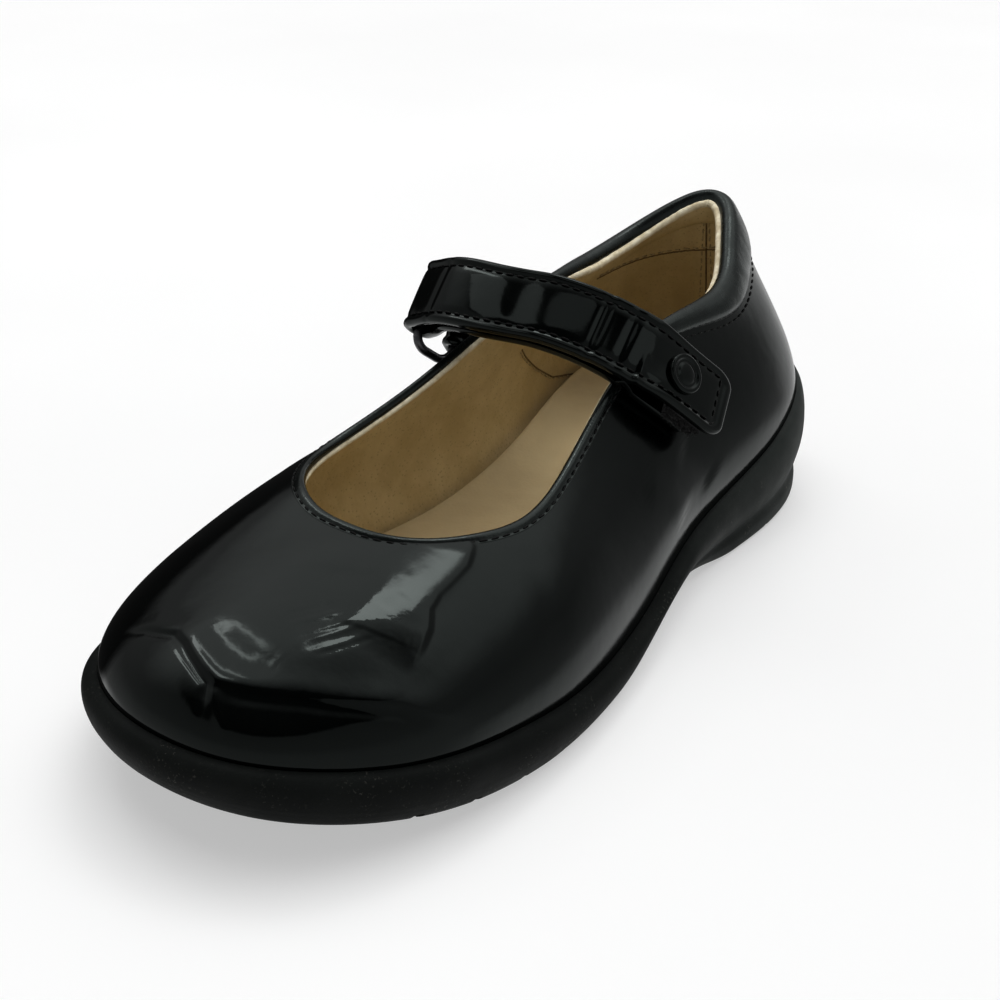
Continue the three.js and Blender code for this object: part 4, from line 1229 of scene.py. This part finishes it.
# ---- ring, its tab, pads and badge ----
def ring_place():
    """Ends and directions of the ring, which hangs from the strap's fold on to its tab."""
    across = FOLD["across"]
    a, b = 14.5, 16.5
    while b - a > 1e-4:
        u = (a + b) / 2
        lower = skin(np.array(u), np.array(RING_RISE), RING_STAND)
        if np.dot(lower - FOLD_AXIS, across) > 0:
            b = u
        else:
            a = u
    lower = skin(np.array(a), np.array(RING_RISE), RING_STAND)
    down = lower - FOLD_AXIS
    return {"upper": FOLD_AXIS, "lower": lower, "down": unit(down), "across": across,
            "height": float(np.linalg.norm(down))}


def make_ring():
    place = ring_place()
    centre = (place["upper"] + place["lower"]) / 2
    a, b = RING_LENGTH / 2 - RING_CORNER, place["height"] / 2 - RING_CORNER
    path = []
    for x, y, start in ((a, b, 0), (-a, b, 90), (-a, -b, 180), (a, -b, 270)):
        for k in range(14):
            angle = math.radians(start + 90 * k / 13)
            path.append(centre + place["across"] * (x + RING_CORNER * math.cos(angle))
                        - place["down"] * (y + RING_CORNER * math.sin(angle)))
    ring = make_object("wire_ring", *tube(path, WIRE / 2, sides=20, closed=True), [NICKEL])
    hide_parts("strap_ring")


def ring_tab_frames():
    """Sections of the tab folded round the ring's lower bar, and what makes one of a layer."""
    place = ring_place()
    lower, across = place["lower"], place["across"]
    radius = WIRE / 2 + GAP + RING_TAB_THICK / 2 + 0.1
    _, normal, _ = nearest_skin(lower, MEDIAL)
    out = unit(normal - across * np.dot(normal, across))
    fall = unit(np.cross(across, out))
    fall = -fall if fall[2] > 0 else fall

    def layer(part, side):
        stand = GAP + 0.15 + RING_TAB_THICK / 2 + (RING_TAB_THICK + 0.25 if side > 0 else 0)
        return {"middle": lower + fall * RING_TAB_LENGTH * part + out * side * radius, "across": across,
                "out": out * side, "lie": float(smoothstep(0, 0.55, part)), "edge": EDGE_LIFT,
                "side": side, "stand": stand}

    parts = np.linspace(0.08, 1, 26)
    turn = half_turn(layer(0, 1), lower, fall, radius, 20)
    return [layer(p, -1) for p in parts[::-1]] + turn + [layer(p, 1) for p in parts], layer


def make_ring_tab():
    frames, layer = ring_tab_frames()
    sections = [section_of(f, RING_TAB_WIDTH, RING_TAB_THICK, MEDIAL) for f in frames]
    tab = make_object("ring_tab_leather", *bar_mesh(sections), [STRAP_PATENT])
    shade_by_angle(tab, 50)
    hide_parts("ring_tab")
    down = [(part, 0.72) for part in np.linspace(0.4, 0.86, 12)]
    over = [(0.86, x) for x in np.linspace(0.66, -0.66, 14)]
    path, normals = [], []
    for part, x in down + over + [(part, -x) for part, x in down[::-1]]:
        p, n = part_across(x, *draped(layer(part, 1), RING_TAB_WIDTH, MEDIAL))
        path.append(p + n * TOP_OF_ROLL * RING_TAB_THICK / 2)
        normals.append(n)
    stitches = joined("tab_stitches", stitch_row(path, normals, *TAB_THREAD), [BLACK_THREAD])


# Stud: part of its radius, part of its height
BADGE_PROFILE = (
    (0.0, -0.55), (0.98, -0.55), (1.0, -0.40), (1.0, 0.20), (0.97, 0.42), (0.90, 0.52), (0.80, 0.50),
    (0.74, 0.36), (0.71, 0.22), (0.62, 0.20), (0.56, 0.24), (0.50, 0.40), (0.40, 0.50), (0.24, 0.56),
    (0.10, 0.58), (0.0, 0.58),
)


def make_badge():
    """Plain round moulded stud: a raised rim, a groove and a low dome."""
    frame = strap_frame(BADGE_AT)
    place, normal, _ = nearest_skin(frame["middle"], LATERAL)
    side = unit(frame["across"] - normal * np.dot(frame["across"], normal))
    other = np.cross(side, normal)
    place = place + normal * (LAYER["upper"] + STRAP_THICK / 2 + 0.1 + BADGE_THICK / 2)
    sides = 64
    a = np.linspace(0, 2 * np.pi, sides, endpoint=False)[:, None]
    around = (side * np.cos(a) + other * np.sin(a)) * BADGE_RADIUS
    rings = [place + normal * z * BADGE_THICK + around * r for r, z in BADGE_PROFILE[1:-1]]
    ends = [place + normal * z * BADGE_THICK for _, z in (BADGE_PROFILE[0], BADGE_PROFILE[-1])]
    first, last = sides * len(rings), sides * (len(rings) - 1)
    faces = [list(f) for f in quads(len(rings), sides, wrap_cols=True)]
    faces += [[(i + 1) % sides, i, first] for i in range(sides)]
    faces += [[last + i, last + (i + 1) % sides, first + 1] for i in range(sides)]
    badge = make_object("round_badge", np.concatenate([*rings, ends]), faces, [STRAP_PATENT])
    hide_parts("badge")


# Layer, width and places along the strap of each pad's fibres
PAD_ROWS = (("loop", 14.0, 0.885, 0.955), ("hook", 13.0, 0.885, 0.96))
FIBRES = 420                 # on each pad


def make_pads():
    """Hook-and-loop pads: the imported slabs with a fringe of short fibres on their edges."""
    fibres = []
    for layer, width, low, high in PAD_ROWS:
        for _ in range(FIBRES):
            s = rng.uniform(low, high)
            side = rng.choice([-1, -1, 1])
            frame = lower_frame(s, LAYER[layer])
            places, facings = draped(moved(frame, -0.4, 0), width, LATERAL)
            k = 0 if side < 0 else -1
            p = places[k] + facings[k] * rng.uniform(-0.5, 0.5)
            away = unit(frame["across"] * side + facings[k] * rng.uniform(-0.5, 0.6)
                        + frame["run"] * rng.uniform(-0.8, 0.8))
            bend = facings[k] * rng.uniform(-0.3, 0.3)
            long = rng.uniform(0.5, 1.3)
            path = [p - away * 0.2, p + away * long * 0.5 + bend * 0.3, p + away * long + bend]
            fibres.append(tube(path, [0.06, 0.05, 0.03], sides=3))
    fringe = joined("pile_fringe", fibres, [PILE])
    for node in ("loop_pad", "hook_pad"):
        slab = frame_nodes[node]
        slab.data.materials.clear()
        slab.data.materials.append(PILE)


# ---- insole ----
def make_insole():
    """Footbed: thin leather on foam, dished, with its edge turned up round the heel."""
    u = np.arange(240) * STATIONS / 240
    heel = 1 - smoothstep(0.25, 0.5, LAST["along"](u))

    def outline(inset, above):
        p = seat_point(u, GAP, -WALL - GAP - inset)
        p[:, 2] = seat_height(p[:, 1]) + above
        return p

    rest, top = GAP + 0.15, GAP + 0.15 + INSOLE
    lifted = top + 2.2 * heel + 0.3
    sides = ((0.5, rest), (0.25, rest + 0.5), (0.2, lifted - 0.6), (0.35, lifted - 0.2), (0.75, lifted),
             (1.3, lifted - 0.25), (2.4, top + 1.2 * heel), (4.2, top + 0.4 * heel), (6.0, top))
    rings = towards_spine(outline(0.3, rest), lambda y: seat_height(y) + rest, [0.86, 0.5, 0.22])
    rings += [outline(inset, above) for inset, above in sides]
    rings += towards_spine(rings[-1], lambda y: seat_height(y) + top - 0.2, [0.15, 0.35, 0.6, 0.86])
    points, faces = stack_mesh(rings)
    insole = make_object("footbed", points, faces, [FOOTBED])
    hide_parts("insole")


# ---- camera, light, floor ----
WINDOW_DISTANCE = 1.5        # metres from the shoe to each window and glint
AIM = (0.0, 0.0, 0.02)       # the place that they face


def add_object(name, data, place, aim):
    """A camera or a light at a place, facing another."""
    obj = bpy.data.objects.new(name, data)
    obj.location = place
    obj.rotation_euler = (Vector(aim) - Vector(place)).to_track_quat("-Z", "Y").to_euler()
    bpy.context.scene.collection.objects.link(obj)
    return obj


def make_camera():
    data = bpy.data.cameras.new("camera")
    data.lens, data.sensor_width = 56.0, 36.0
    data.clip_start, data.clip_end = 0.01, 60
    eye, aim = Vector((168.6, -235.75, 174.8)) * MM, Vector((0.0, -2.0, 24.0)) * MM
    bpy.context.scene.camera = add_object("camera", data, eye, aim)


def area_light(name, place, aim, size, power):
    data = bpy.data.lights.new(name, "AREA")
    data.shape, data.size, data.size_y, data.energy = "RECTANGLE", size[0], size[1], power
    return add_object(name, data, place, aim)


def make_stage():
    bpy.ops.mesh.primitive_circle_add(vertices=96, radius=8.0, fill_type="NGON")
    floor = bpy.context.object
    floor.name = "studio_floor"
    floor.visible_glossy = False
    floor.data.materials.append(floor_material())
    bpy.ops.mesh.primitive_uv_sphere_add(segments=64, ring_count=32, radius=7.9)
    backdrop = bpy.context.object
    backdrop.name = "studio_backdrop"
    backdrop.visible_glossy = backdrop.visible_diffuse = backdrop.visible_shadow = False
    backdrop.data.materials.append(backdrop_material())


# Brightness of the room by height of the direction (-1 straight down, 0 level, 1 straight up)
FRONT_ROOM = ((-1.0, 0.60), (-0.10, 0.58), (0.10, 0.54), (0.30, 0.42), (0.60, 0.36), (0.735, 0.32),
              (0.775, 0.03), (1.0, 0.05))
SIDE_ROOM = ((-1.0, 1.10), (-0.35, 1.00), (-0.20, 0.44), (0.0, 0.40), (0.30, 0.32), (0.50, 0.45),
             (0.68, 1.15), (0.88, 1.28), (1.0, 0.60))
REAR_ROOM = ((-1.0, 0.90), (-0.35, 1.00), (0.12, 1.00), (0.25, 0.45), (0.50, 0.50), (0.68, 1.15),
             (0.88, 1.28), (1.0, 0.60))
DARK_CARD = ((-1.0, 0.03), (1.0, 0.03))
# What is laid over the front room: azimuth and elevation of its middle, the cosines to it
# where it starts and where it is whole, and its brightness
OVER_FRONT = ((-160, 0, -0.12, 0.42, SIDE_ROOM), (180, 0, 0.90, 0.985, REAR_ROOM),
              (-115, -5, 0.86, 0.93, DARK_CARD))


def towards(azimuth, elevation, distance):
    """A point in a direction: azimuth from the toe's, towards the outer side, in degrees."""
    a, e = math.radians(azimuth), math.radians(elevation)
    level = distance * math.cos(e)
    return level * math.sin(a), -level * math.cos(a), distance * math.sin(e)


def make_world():
    """A dim room, paler behind the shoe than in front of it, with a dark card on the inner side."""
    world = bpy.data.worlds.new("studio")
    bpy.context.scene.world = world
    world.use_nodes = True
    sky = Nodes(world.node_tree, "Generated")
    height = sky.spread(sky.axis("Z"), -1.0, 1.0, kind="LINEAR")

    def by_height(stops):
        ramp = sky.add("ValToRGB")
        for place, _ in stops[1:-1]:
            ramp.color_ramp.elements.new((place + 1) / 2)
        for element, (_, value) in zip(ramp.color_ramp.elements, stops):
            element.color = (value, value, value, 1)
        sky.link(height, ramp.inputs[0])
        return ramp.outputs[0]

    room = by_height(FRONT_ROOM)
    for azimuth, elevation, start, whole, stops in OVER_FRONT:
        turned = sky.add("VectorMath")
        turned.operation = "DOT_PRODUCT"
        sky.link(sky.coords, turned.inputs[0])
        turned.inputs[1].default_value = towards(azimuth, elevation, 1.0)
        room = sky.mix(sky.spread(turned.outputs["Value"], start, whole), room, by_height(stops))
    light = sky.add("Background", Color=room)
    sky.link(light.outputs[0], sky.add("OutputWorld").inputs[0])


def window(name, direction, size, power, panes):
    """A window as panes: middle x and y, width and height of each, in parts of its size."""
    place, aim = Vector(towards(*direction, WINDOW_DISTANCE)), Vector(AIM)
    turn = (aim - place).to_track_quat("-Z", "Y")
    for k, (x, y, wide, high) in enumerate(panes):
        aside = turn @ Vector((x * size[0], y * size[1], 0.0))
        pane = size[0] * wide, size[1] * high
        area_light(f"{name}_{k}", place + aside, aim + aside, pane, power * wide * high)


# Lights that only the strap and its parts reflect: direction, size, power
GLINTS = {"strap_glint_left": ((-58, 62), (0.80, 0.50), 1.2),
          "strap_glint_top": ((45, 79), (0.70, 0.42), 0.55),
          "strap_glint_right": ((98, 44), (0.40, 0.46), 0.32)}


def make_lights():
    window("window_wide", (-157, 63), (0.44, 0.25), 1.35, ((0.0, 0.0, 1.0, 1.0),))
    window("window_narrow", (-108, 56), (0.32, 0.48), 1.7,
           ((-0.14, 0.05, 0.12, 0.90), (0.52, -0.05, 0.34, 1.20), (0.16, -0.48, 0.46, 0.34)))
    strap_only = bpy.data.collections.new("strap_only")
    for name in ("strap_leather", "round_badge", "wire_ring", "ring_tab_leather"):
        strap_only.objects.link(bpy.data.objects[name])
    for name, (direction, size, power) in GLINTS.items():
        glint = area_light(name, towards(*direction, WINDOW_DISTANCE), AIM, size, power)
        glint.light_linking.receiver_collection = strap_only
    fill = area_light("overhead_fill", (0.0, 0.3, 1.9), (0.0, 0.0, 0.0), (2.2, 2.2), 32)
    fill.visible_glossy = False


def scene_colours():
    view = bpy.context.scene.view_settings
    view.view_transform, view.look, view.exposure, view.gamma = "Standard", "None", 0.0, 0.8


frame_nodes = frame["nodes"]
make_camera()
make_stage()
make_world()
scene_colours()
make_upper()
make_outsole()
make_insole()
make_binding()
make_collar()
make_lining_edge()
make_stitches()
make_strap()
make_strap_stitches()
make_ring()
make_ring_tab()
make_badge()
make_pads()
make_lights()
